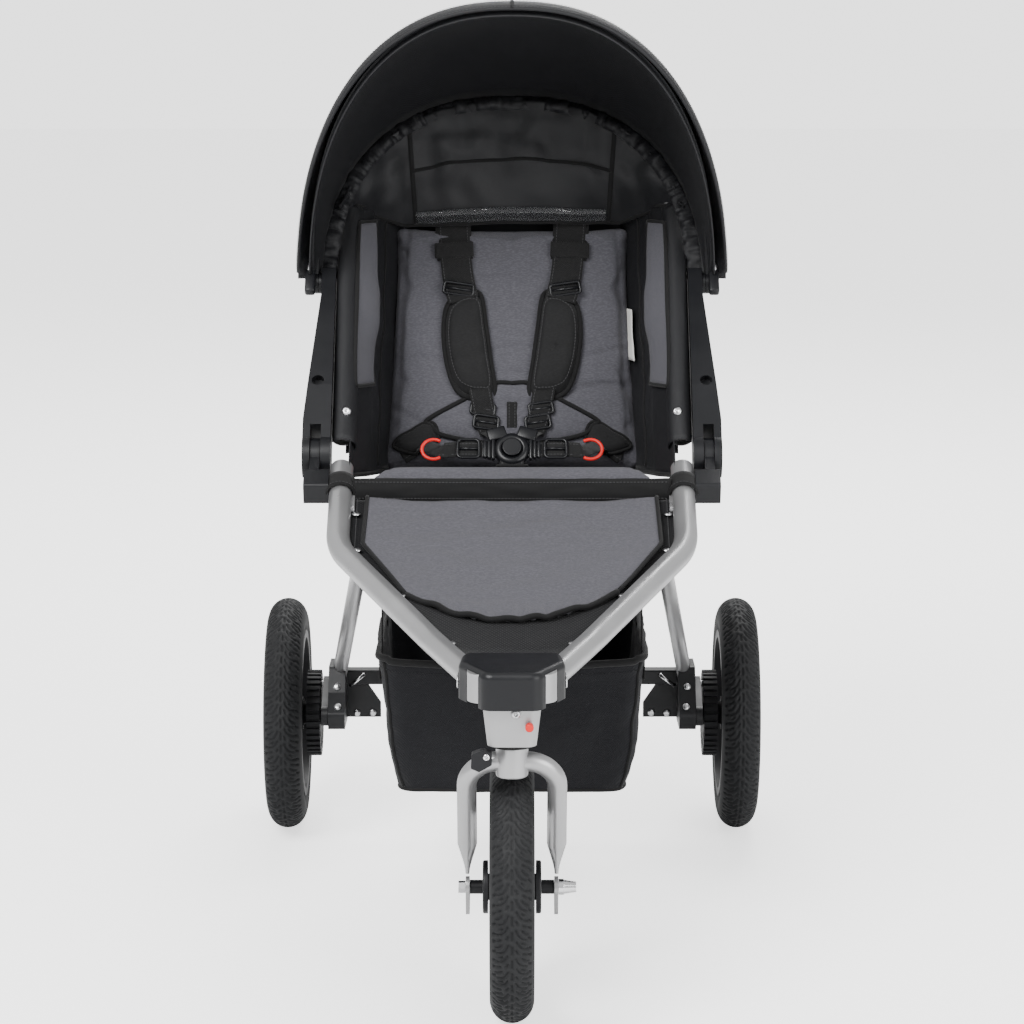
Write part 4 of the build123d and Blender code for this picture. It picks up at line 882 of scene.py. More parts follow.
# ---- seat and backrest --------------------------------------------------------------------------------------
def remeshed(name, node_name, material, voxel=0.005):
    """A dense copy of a CAD node's shape."""
    source = frame["nodes"][node_name]
    mesh = source.data.copy()
    piece = bpy.data.objects.new(name, mesh)
    bpy.context.scene.collection.objects.link(piece)
    mesh.transform(source.matrix_world)
    mesh.materials.clear()
    mesh.materials.append(MATERIALS[material])
    remesh = piece.modifiers.new("Remesh", "REMESH")
    remesh.mode = "VOXEL"
    remesh.voxel_size = voxel
    freeze(piece)
    return piece


def freeze(piece):
    """Puts a piece's modifiers into its mesh."""
    graph = bpy.context.evaluated_depsgraph_get()
    graph.update()
    mesh = bpy.data.meshes.new_from_object(piece.evaluated_get(graph))
    old = piece.data
    piece.modifiers.clear()
    piece.data = mesh
    bpy.data.meshes.remove(old)
    mesh.polygons.foreach_set("use_smooth", [True] * len(mesh.polygons))


def inflate(piece, limit, frames=20):
    """Fills a closed cushion with the cloth solver, and keeps every point within limit of where it was."""
    sizes = bpy.context.scene.stroller_sizes
    before = np.array([v.co for v in piece.data.vertices])
    modifier = piece.modifiers.new("Cloth", "CLOTH")
    settings = modifier.settings
    settings.quality = 6
    settings.mass = 0.25
    settings.tension_stiffness = 14
    settings.compression_stiffness = 14
    settings.bending_stiffness = 1.2
    settings.use_pressure = True
    settings.uniform_pressure_force = sizes.cushion_pressure
    settings.effector_weights.gravity = 0
    modifier.collision_settings.use_collision = False
    scene = bpy.context.scene
    for i in range(1, frames + 1):
        scene.frame_set(i)
    freeze(piece)
    scene.frame_set(1)
    after = np.array([v.co for v in piece.data.vertices])
    move = after - before
    length = np.linalg.norm(move, axis=1, keepdims=True)
    after = before + move * np.minimum(1, limit / np.maximum(length, 1e-9))
    piece.data.vertices.foreach_set("co", after.ravel())
    piece.data.update()


def carve(piece, facing, lines):
    """Presses channels into a cushion: lines are (function giving distance in metres, width, depth)."""
    mesh = piece.data
    for vertex, normal in zip(mesh.vertices, [v.normal.copy() for v in mesh.vertices]):
        if normal.dot(facing) < 0.35:
            continue
        for distance, width, depth in lines:
            d = distance(vertex.co)
            vertex.co -= facing * (depth * math.exp(-(d / width) ** 2))
    mesh.update()


def subdivide(piece):
    """One level of smooth subdivision."""
    modifier = piece.modifiers.new("Smooth", "SUBSURF")
    modifier.levels = 1
    modifier.render_levels = 1
    return modifier


def back_coordinates(p):
    """Across, up and out on the backrest, in millimetres."""
    d = p - RECLINE
    return p.x * 1000, d.dot(BACK_UP) * 1000 - 6, d.dot(BACK_OUT) * 1000 - 28


def seat_coordinates(p):
    """Across, back and up on the seat, in millimetres."""
    d = p - SEAT_FRONT
    return p.x * 1000, d.dot(SEAT_RUN) * 1000, d.dot(SEAT_OUT) * 1000


def build_cushions():
    """The seat and back cushions, swelled by the cloth solver and creased where the rider bends them."""
    crown = bpy.context.scene.stroller_sizes.cushion_crown
    back = remeshed("back_pad", "back_cushion", "heather_cloth")
    seat = remeshed("seat_pad", "seat_cushion", "heather_cloth")
    head = remeshed("head_pad", "back_head_panel", "hood_cloth")
    for piece in (back, seat, head):
        inflate(piece, crown)
    creases = []
    for t, depth, bow in ((96, 3.2, 10), (128, 2.2, -8), (158, 3.0, 12), (186, 1.6, -6), (268, 1.4, 9)):
        creases.append((
            lambda p, t=t, bow=bow: (
                back_coordinates(p)[1] - t - bow * math.sin(p.x * 14) - wobble(p, 11, 26, t)
            ) / 1000,
            0.0042, depth / 1000,
        ))
    for x in (-150, 150):
        creases.append((
            lambda p, x=x: abs(p.x * 1000 - x * (1 - back_coordinates(p)[1] / 3300)) / 1000, 0.0026, 0.0028,
        ))
    carve(back, BACK_OUT, creases)
    folds = [
        (lambda p, s=s: (seat_coordinates(p)[1] - s - 8 * math.sin(p.x * 17 + s)) / 1000, 0.0045, d / 1000)
        for s, d in ((36, 1.8), (92, 1.6), (170, 2.6))
    ]
    folds += [(lambda p, x=x: abs(p.x - x), 0.0026, 0.0026) for x in (-0.150, 0.150)]
    carve(seat, SEAT_OUT, folds)
    carve(head, BACK_OUT, [(lambda p: abs(back_coordinates(p)[1] - 420) / 1000, 0.003, 0.003)])
    cushions = (
        (back, "backrest", "back_cushion"), (seat, "frame", "seat_cushion"), (head, "backrest", "back_head_panel"),
    )
    for piece, body, node_name in cushions:
        subdivide(piece)
        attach(piece, body)
        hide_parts(node_name)
    half = [(t, 172 - 26 * t / 500) for t in (8, 60, 120, 180, 240, 300, 334)]
    for side, sign in SIDES:
        path = smooth_path([on_back(sign * (w - 1.5), t, -9) for t, w in half], 6)
        piping = tube(f"back_piping_{side}", path, 0.0028, "binding_cloth")
        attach(piping, "backrest")
        path = [on_seat(sign * 171, s, -6) for s in range(8, 262, 12)]
        piping = tube(f"seat_piping_{side}", path, 0.0028, "binding_cloth")
        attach(piping, "frame")
    return back, seat


def surface_finder(piece, facing):
    """A function that drops a point on to a piece's face along facing, and lifts it off by an amount."""
    bpy.context.view_layer.update()
    tree = BVHTree.FromObject(piece, bpy.context.evaluated_depsgraph_get())

    def find(point, lift=0.0):
        hit = tree.ray_cast(point + facing * 0.08, -facing, 0.16)
        return (hit[0] if hit[0] else point) + facing * lift

    return find


# ---- harness ------------------------------------------------------------------------------------------------
def puffed_pad(name, outline, find, thick, material):
    """A padded shape on a surface: outline is points across and up; it swells away from its bound edge."""
    path = smooth_path([Vector((x, t, 0)) for x, t in outline], 6, closed=True)
    count = len(path)
    middle = sum(path, Vector()) / count
    rows = []
    rings = 9
    for i in range(rings + 1):
        f = i / rings
        row = []
        for p in path:
            q = p.lerp(middle, f)
            base = find(on_back(q.x, q.y))
            lift = thick * (1 - (1 - min(1, f * 1.9)) ** 2.4) + 0.0016
            lift += 0.0006 * noise.noise(Vector((q.x * 0.06, q.y * 0.06, 4)))
            row.append(base + BACK_OUT * lift)
        rows.append(row)
    rows.insert(0, [find(on_back(p.x, p.y)) for p in path])
    points = [p for row in rows for p in row]
    faces = grid_faces(len(rows), count, False, True)
    faces.append(tuple(range((len(rows) - 1) * count, len(rows) * count)))
    return add_mesh(name, points, faces, material), rows[1]


PAD_OUTLINE = (
    (40, 233), (54, 239), (74, 231), (85, 214), (87.5, 178), (82, 138), (71, 109), (54, 98), (38, 96), (22, 101),
    (28, 150), (34, 195),
)
WAIST_OUTLINE = ((0, 118), (24, 117), (64, 95), (108, 70), (104, 62), (90, 50), (40, 40), (0, 39))


def buckle_frame(name, centre, across, upward, size, bar, body, material="nylon_smooth"):
    """An open slide adjuster: a rounded ring with a cross bar."""
    w, h = size
    path = []
    r = min(w, h) * 0.22
    cx0, cy0 = w / 2 - r, h / 2 - r
    for cx, cy, start in ((cx0, cy0, 0), (-cx0, cy0, 90), (-cx0, -cy0, 180), (cx0, -cy0, 270)):
        for k in range(5):
            a = math.radians(start + 90 * k / 4)
            path.append(centre + across * (cx + r * math.cos(a)) + upward * (cy + r * math.sin(a)))
    ring = tube(name, path, bar, material, closed=True, sides=10)
    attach(ring, body)
    ends = [centre - across * (w / 2), centre + across * (w / 2)]
    middle = tube(f"{name}_bar", ends, bar * 0.9, material, sides=10)
    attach(middle, body)


def strap_on(name, body, points, facing, width, thick=0.0018, steps=8, seam=True):
    """A webbing strap through points, with a row of stitches by each edge."""
    path = smooth_path(points, steps)
    strap = ribbon(name, path, facing, width, thick, "webbing")
    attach(strap, body)
    if seam:
        for label, side in (("a", -1), ("b", 1)):
            across = (path[-1] - path[0]).cross(facing).normalized() * (side * (width / 2 - 0.0028))
            row = stitches(f"{name}_stitches_{label}", [p + across + facing * (thick * 0.55) for p in path], facing)
            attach(row, body)
    return path


def build_harness(back, seat):
    """Shoulder and lap straps, their pads, adjusters, rings and the round buckle."""
    find = surface_finder(back, BACK_OUT)
    find_seat = surface_finder(seat, SEAT_OUT)
    low, high = (Vector(c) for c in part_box("buckle_button"))
    face = Vector((0, -0.80, 0.60))
    rise = Vector((0, 0.60, 0.80))
    right = Vector((1, 0, 0))
    core = (low + high) / 2 - face * 0.004
    width = bpy.context.scene.stroller_sizes.strap_width

    waist_path = list(WAIST_OUTLINE) + [(-x, t) for x, t in WAIST_OUTLINE[-2:0:-1]]
    waist, rim = puffed_pad("waist_panel", waist_path, find, 0.007, "heather_cloth")
    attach(waist, "backrest")
    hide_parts("waist_pad")
    binding = tube("waist_binding", [p + BACK_OUT * 0.0015 for p in rim], 0.0030, "binding_cloth", closed=True)
    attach(binding, "backrest")
    strap_on("waist_tab", "backrest", [find(on_back(0, t), 0.0088) for t in (92, 82, 72, 58)], BACK_OUT, 0.013)
    for side, sign in SIDES:
        outline = [(sign * x, t) for x, t in PAD_OUTLINE]
        upper_line = (
            (76, 345, 0.004), (75, 320, 0.004), (73, 290, 0.005), (70, 262, 0.005), (66, 240, 0.009),
            (62, 226, 0.012),
        )
        upper = [find(on_back(sign * x, t), d) for x, t, d in upper_line]
        strap_on(f"shoulder_strap_{side}", "backrest", upper, BACK_OUT, 0.040)
        backing = [find(on_back(sign * x, t), 0.0022) for x, t in ((77, 346), (76, 320), (74, 296), (73, 282))]
        strap_on(f"shoulder_backing_{side}", "backrest", backing, BACK_OUT, 0.046, seam=False)
        keeper = [find(on_back(sign * x, t), 0.0072) for x, t in ((75.0, 304), (74.5, 294), (74.0, 284))]
        strap_on(f"shoulder_keeper_{side}", "backrest", keeper, BACK_OUT, 0.050, thick=0.0024, seam=False)
        tilt = (right * sign * -0.15 + BACK_UP).normalized()
        flat = tilt.cross(BACK_OUT).normalized()
        slides = ((68.5, 241, (0.038, 0.015)), (37, 82, (0.030, 0.015)), (33, 64, (0.031, 0.017)))
        for k, (x, t, size) in enumerate(slides):
            spot = find(on_back(sign * x, t), 0.0105 if k == 0 else 0.0125)
            buckle_frame(f"slide_{side}_{k}", spot, flat, tilt, size, 0.0021, "backrest")
        pad, rim = puffed_pad(f"shoulder_pad_{side}", outline, find, 0.017, "pad_cloth")
        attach(pad, "backrest")
        if sign > 0:
            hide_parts("harness_pads")
        edge = [p + BACK_OUT * 0.003 for p in rim]
        binding = tube(f"shoulder_pad_binding_{side}", edge, 0.0034, "binding_cloth", closed=True)
        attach(binding, "backrest")
        inner = [find(on_back(sign * (x * 0.80 + 11), 168 + (t - 168) * 0.82), 0.0172) for x, t in PAD_OUTLINE]
        line = smooth_path(inner, 6, closed=True)
        knit = stitches(f"shoulder_pad_stitches_{side}", line + [line[0]], BACK_OUT)
        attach(knit, "backrest")
        lower_line = ((42, 112, 0.010), (39, 96, 0.013), (36, 80, 0.013), (31, 60, 0.012), (27, 50, 0.012))
        lower = [find(on_back(sign * x, t), d) for x, t, d in lower_line]
        strap_on(f"lower_strap_{side}", "backrest", lower, BACK_OUT, 0.028)
        start = find(on_back(sign * 28, 52), 0.0125)
        finish = core + right * (sign * 0.015) + rise * 0.015 - face * 0.003
        bends = [start.lerp(finish, 0.4) + face * 0.003, start.lerp(finish, 0.75) + face * 0.002]
        link = smooth_path([start, *bends, finish], 8)
        tail = ribbon(f"buckle_strap_{side}", link, face, 0.024, 0.0018, "webbing")
        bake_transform(tail)
        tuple(start)
        reach = finish + right * (sign * 0.004) + rise * 0.006 + face * 0.002
        slant = (rise + right * sign * 0.3).normalized()
        shoulder = rounded_box(
            f"buckle_shoulder_{side}", reach, (slant.cross(face), slant), (0.024, 0.016, 0.006), "nylon_smooth",
        )
        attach(shoulder, "frame")
        for k, (x, tall) in enumerate(((0.0235, 0.029), (0.0285, 0.026), (0.0335, 0.024))):
            tongue = rounded_box(
                f"buckle_tongue_{side}_{k}", core + right * (sign * x) - face * 0.003, (right, rise),
                (0.0046, tall, 0.0085 - k * 0.001), "nylon_smooth",
            )
            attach(tongue, "frame")
        plate = rounded_box(
            f"buckle_plate_{side}", core + right * (sign * 0.028) - face * 0.004, (right, rise),
            (0.020, 0.021, 0.005), "nylon_smooth",
        )
        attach(plate, "frame")
        lap = [
            core + right * (sign * 0.034) - face * 0.003, core + right * (sign * 0.052) - face * 0.002,
            core + right * (sign * 0.074) - face * 0.003, core + right * (sign * 0.092) - face * 0.008 + rise * 0.002,
            find(on_back(sign * 116, 34), 0.006), find(on_back(sign * 140, 22), 0.003),
        ]
        strap_on(f"lap_strap_{side}", "frame", lap, face, width * 0.84)
        middle = core + right * (sign * 0.0545) + face * 0.0005
        buckle_frame(f"lap_slide_{side}", middle, right, rise, (0.027, 0.025), 0.0021, "frame")
        centre = core + right * (sign * 0.098) - face * 0.002
        arc = [
            centre + (right * (sign * math.cos(a) * 0.0145) + rise * (math.sin(a) * 0.0135))
            for a in np.linspace(math.radians(-125), math.radians(125), 32)
        ]
        ring = tube(f"red_ring_{side}", arc, 0.0022, "red_plastic")
        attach(ring, "frame")
        wing = [(98, 64), (112, 66), (128, 56), (146, 46), (150, 34), (120, 26), (96, 40)]
        flap, rim = puffed_pad(f"hip_flap_{side}", [(sign * x, t) for x, t in wing], find, 0.006, "pad_cloth")
        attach(flap, "backrest")
        rim = [p + BACK_OUT * 0.001 for p in rim]
        edge = tube(f"hip_flap_binding_{side}", rim, 0.0022, "binding_cloth", closed=True)
        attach(edge, "backrest")
    shell = lathe(
        "buckle_shell",
        [(-0.0115, 0.0), (-0.0115, 0.0185), (-0.009, 0.0215), (-0.002, 0.0225), (0.0015, 0.0205), (0.0032, 0.0165),
         (0.0030, 0.0128), (0.0, 0.0124), (-0.0035, 0.0122), (-0.0035, 0.0)],
        core, face, "nylon_smooth", 48,
    )
    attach(shell, "frame")
    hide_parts("buckle")
    crotch = [
        find_seat(on_seat(0, 132), 0.001), find_seat(on_seat(0, 137), 0.010),
        core - face * 0.006 - rise * 0.019, core - face * 0.004 - rise * 0.008,
    ]
    strap_on("crotch_strap", "frame", crotch, face, 0.030)
    foot = rounded_box(
        "crotch_anchor", find_seat(on_seat(0, 132), 0.002), (right, SEAT_RUN), (0.040, 0.016, 0.004),
        "binding_cloth", 0.0015,
    )
    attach(foot, "frame")


# ---- cloth under and beside the seat ------------------------------------------------------------------------
TUBE_LINE = [
    (47, -44, 411.5), (62, 20, 415), (90, 70, 420), (120, 122, 436), (150, 175, 453), (182, 231, 470),
    (207, 275, 482), (207, 353, 522), (207, 432, 562),
]


def build_seat_front():
    """The bound band across the seat's front, and the wraps round each tube."""
    columns, rows = 90, []
    for k in range(13):
        a = math.radians(-68 + 136 * k / 12)
        row = []
        for j in range(columns + 1):
            x = -192 + 384 * j / columns
            behind = 371.5 - 6.8 * math.cos(a) - 3 * math.cos(x / 192 * 1.5)
            z = 534 + 14 * math.sin(a)
            p = at(x, behind, z)
            pull = wobble(Vector((x * 0.03, k * 0.35, 0)), 1.0, 0.0016, 3)
            row.append(p + Vector((0, -pull, pull * 0.6)))
        rows.append(row)
    band = sheet_mesh("seat_front_binding", rows, "binding_cloth", 0.003)
    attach(band, "frame")
    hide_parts("seat_front_band")
    for label, z in (("upper", 544.0), ("lower", 524.0)):
        path = [at(x, 364.2 - 3 * math.cos(x / 192 * 1.5), z) for x in range(-188, 189, 4)]
        knit = stitches(f"seat_front_stitches_{label}", path, Vector((0, -1, 0)))
        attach(knit, "frame")
    for side, sign in SIDES:
        loop = []
        centre, run = at(sign * 207, 375, 533), Vector((0, 0.891, 0.454))
        up = Vector((0, -0.454, 0.891))
        for k in range(41):
            a = math.radians(360 * k / 40)
            loop.append(centre + (Vector((sign, 0, 0)) * math.cos(a) + up * math.sin(a)) * 0.0172)
        wrap_rows = [[p + run * s for p in loop] for s in np.linspace(-0.012, 0.012, 5)]
        wrap = sheet_mesh(f"seat_front_wrap_{side}", wrap_rows, "binding_cloth", 0.0026)
        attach(wrap, "frame")
        for s in (-0.009, 0.009):
            path = [p * 1.0 + run * s + (p - centre).normalized() * 0.0016 for p in loop]
            knit = stitches(f"seat_wrap_stitches_{side}_{'a' if s < 0 else 'b'}", path, up)
            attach(knit, "frame")


def tube_inside(behind):
    """Half the gap between the two frame tubes, in millimetres, at a distance behind the front axle."""
    for (xa, da, _), (xb, db, _) in zip(TUBE_LINE, TUBE_LINE[1:]):
        if da <= behind <= db:
            return xa + (xb - xa) * (behind - da) / (db - da) - 15.5
    return (TUBE_LINE[0][0] if behind < TUBE_LINE[0][1] else TUBE_LINE[-1][0]) - 15.5


def foot_line(f):
    """The foot panel's centre line: behind and height for a fraction from the seat down to the head block."""
    points = [(366, 524), (322, 502), (275, 482), (206, 458), (138, 437), (70, 417), (26, 413), (-19, 411)]
    spot = f * (len(points) - 1)
    i = min(len(points) - 2, int(spot))
    t = spot - i
    return [points[i][k] + (points[i + 1][k] - points[i][k]) * t for k in (0, 1)]


def build_foot_panel():
    """The grey foot panel with its gathered rounded end, black side strips and a net down to the head block."""
    def surface(x, f, lift=0.0):
        behind, z = foot_line(f)
        half = tube_inside(behind)
        droop = 7 * (1 - (x / max(half, 1)) ** 2)
        return at(x, behind, z - droop + lift)

    steps, columns = 60, 60
    rows = []
    for i in range(steps + 1):
        f = 0.985 * i / steps
        half = tube_inside(foot_line(f)[0]) + 3
        rows.append([surface(-half + 2 * half * j / columns, f, -2.5) for j in range(columns + 1)])
    net = sheet_mesh("foot_net", rows, "net_cloth", 0.0014)
    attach(net, "frame")
    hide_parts("foot_panel")
    rows = []
    end = 0.59
    for i in range(steps + 1):
        row = []
        for j in range(columns + 1):
            across = -1 + 2 * j / columns
            limit = end * (1 - 0.17 * abs(across) ** 3.2)
            f = 0.004 + (limit - 0.004) * i / steps
            half = tube_inside(foot_line(f)[0]) - 17 + 9 * f
            x = across * half
            near_end = max(0.0, (i / steps - 0.86) / 0.14)
            gather = math.sin(across * 46 + 3 * noise.noise(Vector((across * 5, 0, 2)))) * 2.2 * near_end
            rumple = wobble(Vector((x / 1000, f, 0)), 13, 5.0, 3) + wobble(Vector((x / 1000, f, 0)), 34, 1.8, 8)
            bulge = 3.5 * math.sin(math.pi * min(1, i / steps))
            row.append(surface(x, f, 2.5 + bulge + rumple * (1 - abs(across) ** 4) + gather))
        rows.append(row)
    panel = sheet_mesh("foot_cloth", rows, "heather_cloth", 0.0022)
    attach(panel, "frame")
    edge = smooth_path([rows[-1][j] + Vector((0, 0, 0.0012)) for j in range(0, columns + 1, 3)], 4)
    hem = tube("foot_hem", edge, 0.0036, "binding_cloth")
    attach(hem, "frame")
    for side, column in (("right", 0), ("left", columns)):
        path = [rows[i][column] + Vector((0, 0, 0.0012)) for i in range(0, steps + 1, 2)]
        piping = tube(f"foot_piping_{side}", path, 0.0026, "binding_cloth")
        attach(piping, "frame")
    for side, sign in SIDES:
        seam = []
        for i in range(0, 56):
            f = 0.985 * i / 60
            half = tube_inside(foot_line(f)[0]) - 5
            seam.append(surface(sign * half, f, 0.4))
        knit = stitches(f"foot_net_stitches_{side}", seam, Vector((0, 0, 1)))
        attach(knit, "frame")
        for k, f in enumerate((0.10, 0.30, 0.50, 0.72)):
            behind, z = foot_line(f)
            half = tube_inside(behind)
            cap = lathe(
                f"foot_snap_{side}_{k}", [(0, 0.0052), (0.0012, 0.0052), (0.0024, 0.0036), (0.0026, 0.0)],
                at(sign * (half - 4.5), behind, z + 1.2), (0, 0, 1), "zinc_steel", 24,
            )
            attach(cap, "frame")


def wing_point(sign, u, v, lift=0.0):
    """A point on a side panel: u from the upright back to the backrest's edge, v from the seat to its top."""
    low_front, turn = at(197, 386, 547), 0.15
    if v < turn:
        front = low_front.lerp(along(198, 16, 12), v / turn)
    else:
        front = along(198, 16 + 356 * (v - turn) / (1 - turn), 12)
    t = 12 + 360 * v
    back = on_back(back_half(t) - 14, t, -22)
    p = front.lerp(back, u)
    flare = min(1.0, u / 0.40)
    flare = flare * flare * (3 - 2 * flare)
    x = 198 - 21 * flare + max(0.0, u - 0.4) / 0.6 * (back.x * 1000 - 177)
    slack = math.sin(math.pi * min(1, max(0, u))) * math.sin(math.pi * min(1, max(0, v)))
    x += (wobble(p, 12, 8.0, 5) + wobble(p, 30, 3.0, 2)) * slack - lift
    return Vector((sign * x / 1000, p.y, p.z))


def back_half(t):
    """Half the width of the backrest in millimetres at t up its face."""
    return 172 - 26 * t / 500


def build_side_panels():
    """The black side panels from the uprights to the backrest's edges, with a grey pocket, sleeves and snaps."""
    for side, sign in SIDES:
        rows = [[wing_point(sign, j / 48, i / 40) for j in range(49)] for i in range(41)]
        panel = sheet_mesh(f"side_cloth_{side}", rows, "hood_cloth", 0.0018)
        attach(panel, "upper_frame")
        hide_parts(f"side_panel_{side}")
        rows = []
        for i in range(41):
            s = 14 + 362 * i / 40
            row = []
            for j in range(25):
                a = math.radians(38 + 222 * j / 24)
                r = 15.4 + wobble(Vector((s * 0.03, j * 0.3, sign)), 1.0, 0.5)
                aside = Vector((sign * (207 + r * math.cos(a)) / 1000, 0, 0))
                row.append(along(0, s) + aside + OUT * (r * math.sin(a) / 1000))
            rows.append(row)
        sleeve = sheet_mesh(f"side_sleeve_{side}", rows, "hood_cloth", 0.0014)
        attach(sleeve, "upper_frame")
        rows = []
        for i in range(31):
            v = 0.33 + 0.60 * i / 30
            row = []
            for j in range(25):
                round_end = 0.03 * (2 * i / 30 - 1) ** 6
                u = 0.03 + round_end + (0.37 - 2 * round_end) * j / 24
                puff = 4.5 * math.sin(math.pi * i / 30) ** 0.6 * math.sin(math.pi * j / 24) ** 0.6
                row.append(wing_point(sign, u, v, 3.0 + puff) + OUT * 0.004)
            rows.append(row)
        pocket = sheet_mesh(f"side_pocket_{side}", rows, "heather_cloth", 0.002)
        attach(pocket, "upper_frame")
        border = rows[0] + [r[-1] for r in rows[1:]] + rows[-1][-2::-1] + [r[0] for r in rows[-2:0:-1]]
        piping = tube(f"side_piping_{side}", border, 0.0026, "binding_cloth", closed=True)
        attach(piping, "upper_frame")
        top = [wing_point(sign, j / 40, 1.0) for j in range(41)]
        binding = tube(f"side_binding_{side}", top, 0.0030, "binding_cloth")
        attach(binding, "upper_frame")
        hem = [wing_point(sign, j / 40, 0.0) for j in range(41)]
        binding = tube(f"side_hem_{side}", hem, 0.0030, "binding_cloth")
        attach(binding, "upper_frame")
        seam = [wing_point(sign, 0.62, j / 40, 1.2) for j in range(1, 40)]
        line = tube(f"side_seam_{side}", seam, 0.0014, "binding_cloth")
        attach(line, "upper_frame")
        cap = lathe(
            f"side_snap_{side}", [(0, 0.0058), (0.0015, 0.0058), (0.003, 0.0042), (0.0033, 0.0025), (0.0022, 0.0)],
            along(sign * 203, 55, 16), OUT - UP * 0.3, "zinc_steel", 28,
        )
        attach(cap, "upper_frame")
    tag_rows = []
    for i in range(14):
        row = []
        for j in range(5):
            p = wing_point(1, 0.93 - 0.05 * j, 0.60 - 0.19 * i / 13, 3.5 + 4 * j / 4)
            row.append(Vector((p.x, p.y - 0.001 - 0.002 * math.sin(i * 0.5 + j * 0.3), p.z)))
        tag_rows.append(row)
    tag = sheet_mesh("care_tag", tag_rows, "label_cloth", 0.0008)
    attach(tag, "upper_frame")


# ---- basket -------------------------------------------------------------------------------------------------
BASKET_LOW, BASKET_TALL, BASKET_MIDDLE = 152, 178, 514


def basket_ring(z):
    """The basket's outline at a height: a rounded rectangle in millimetres, as a closed list."""
    f = (z - BASKET_LOW) / BASKET_TALL
    half = 140 + 22 * f
    front, rear = 378 - 42 * f, 650 + 40 * f
    r = 24
    points = []
    corners = (
        (half - r, rear - r, 0), (-half + r, rear - r, 90), (-half + r, front + r, 180), (half - r, front + r, 270),
    )
    for i, (cx, cy, start) in enumerate(corners):
        for k in range(9):
            a = math.radians(start + 90 * k / 8)
            points.append(Vector((cx + r * math.cos(a), cy + r * math.sin(a), z)))
        nx, ny, nstart = corners[(i + 1) % 4]
        a = points[-1]
        b = Vector((nx + r * math.cos(math.radians(nstart)), ny + r * math.sin(math.radians(nstart)), z))
        for k in range(1, 26):
            points.append(a.lerp(b, k / 26))
    return points


def outside(p, lift):
    """A point of the basket's wall, lifted off it."""
    return p + Vector((p.x, p.y - at(0, BASKET_MIDDLE, 0).y, 0)).normalized() * lift


def build_basket():
    """The slack cloth basket, with a bound rim, side gussets, hem and hanger straps."""
    rows = []
    steps = 40
    for i in range(steps + 1):
        f = i / steps
        z = BASKET_LOW + BASKET_TALL * f
        ring = basket_ring(z)
        row = []
        for p in ring:
            out = Vector((p.x, p.y - BASKET_MIDDLE, 0)).normalized()
            world = at(p.x, p.y, p.z)
            slack = math.sin(math.pi * min(1, f * 1.15)) if f < 0.87 else 0.0
            bulge = 5.0 * slack * (1 if abs(out.y) < 0.8 else 0.6)
            fold = wobble(Vector((world.x, world.y, world.z * 0.45)), 24, 7.0, 4) * (0.25 + 0.75 * slack)
            fine = wobble(world, 60, 1.6, 9)
            lip = -5 * (1 - math.cos(min(1, (1 - f) * 5) * math.pi)) * 0.1
            front = p.y < 400
            dip = -9 * math.cos(p.x / 162 * 1.4) * f if front and abs(p.x) < 150 else 0
            row.append(at(p.x, p.y, p.z + dip) + out * ((bulge + fold + fine + lip) / 1000))
        rows.append(row)
    count = len(rows[0])
    points = [p for row in rows for p in row]
    faces = grid_faces(steps + 1, count, False, True)
    middle = at(0, BASKET_MIDDLE, BASKET_LOW - 1)
    for k in range(1, 9):
        f = k / 8
        ring = [p.lerp(middle, f) for p in rows[0]]
        base = len(points)
        points += [
            Vector((p.x, p.y, 0.152 - 0.006 * math.sin(math.pi * f / 2) + wobble(p, 20, 0.004, 6)))
            for p in ring
        ]
        previous = 0 if k == 1 else base - count
        for j in range(count):
            m = (j + 1) % count
            faces.append((previous + j, base + j, base + m, previous + m))
    basket = add_mesh("basket_cloth_shell", points, faces, "basket_cloth")
    solid = basket.modifiers.new("Thickness", "SOLIDIFY")
    solid.thickness = 0.0018
    solid.offset = 0
    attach(basket, "frame")
    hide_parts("basket")
    rim = tube("basket_rim", rows[-1], 0.0045, "binding_cloth", closed=True)
    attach(rim, "frame")
    floor_line = [p + Vector((0, 0, 0.0015)) for p in rows[0]]
    seam_low = tube("basket_floor_seam", floor_line, 0.0030, "binding_cloth", closed=True)
    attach(seam_low, "frame")
    hem = stitches("basket_hem_stitches", [outside(p, 0.0016) for p in rows[-4]], Vector((0, 0, 1)))
    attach(hem, "frame")
    welts = []
    for k, column in enumerate((4, 38, 72, 106)):
        path = [outside(row[column % count], 0.0014) for row in rows[1:-1]]
        welt = tube(f"basket_corner_seam_{k}", path, 0.0022, "binding_cloth")
        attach(welt, "frame")
        welts.append(welt)
    for soft in (*welts, basket, rim, seam_low, hem):
        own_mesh(soft)
    for side, sign in SIDES:
        for label, behind, high in (("front", 372, 500), ("rear", 577, 470)):
            top = at(sign * 152, behind, high)
            low = at(sign * 158.5, behind, 318)
            bow = top.lerp(low, 0.5) + Vector((sign * 0.002, 0.002, 0))
            path = smooth_path([top, bow, low, at(sign * 159.5, behind, 300)], 8)
            strap = ribbon(f"basket_hanger_{label}_{side}", path, Vector((sign, 0, 0)), 0.022, 0.0018, "webbing")
            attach(strap, "frame")
            patch_line = [at(sign * 161.4, behind, z) for z in (298, 306, 314, 322)]
            patch = ribbon(
                f"basket_patch_{label}_{side}", patch_line, Vector((sign, 0, 0)), 0.026, 0.0012, "binding_cloth",
            )
            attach(patch, "frame")


# ---- small hardware -----------------------------------------------------------------------------------------
def dot(name, place, axis, radius, body, material="zinc_steel", kind="rivet"):
    """A rivet or screw that rides on a body."""
    if kind == "screw":
        piece = screw(name, place, axis, radius, material)
    else:
        profile = [(-0.001, radius), (0.0006, radius), (0.0016, radius * 0.72), (0.0019, radius * 0.3), (0.0019, 0)]
        piece = lathe(name, profile, place, axis, material, 24)
    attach(piece, body)
    return piece


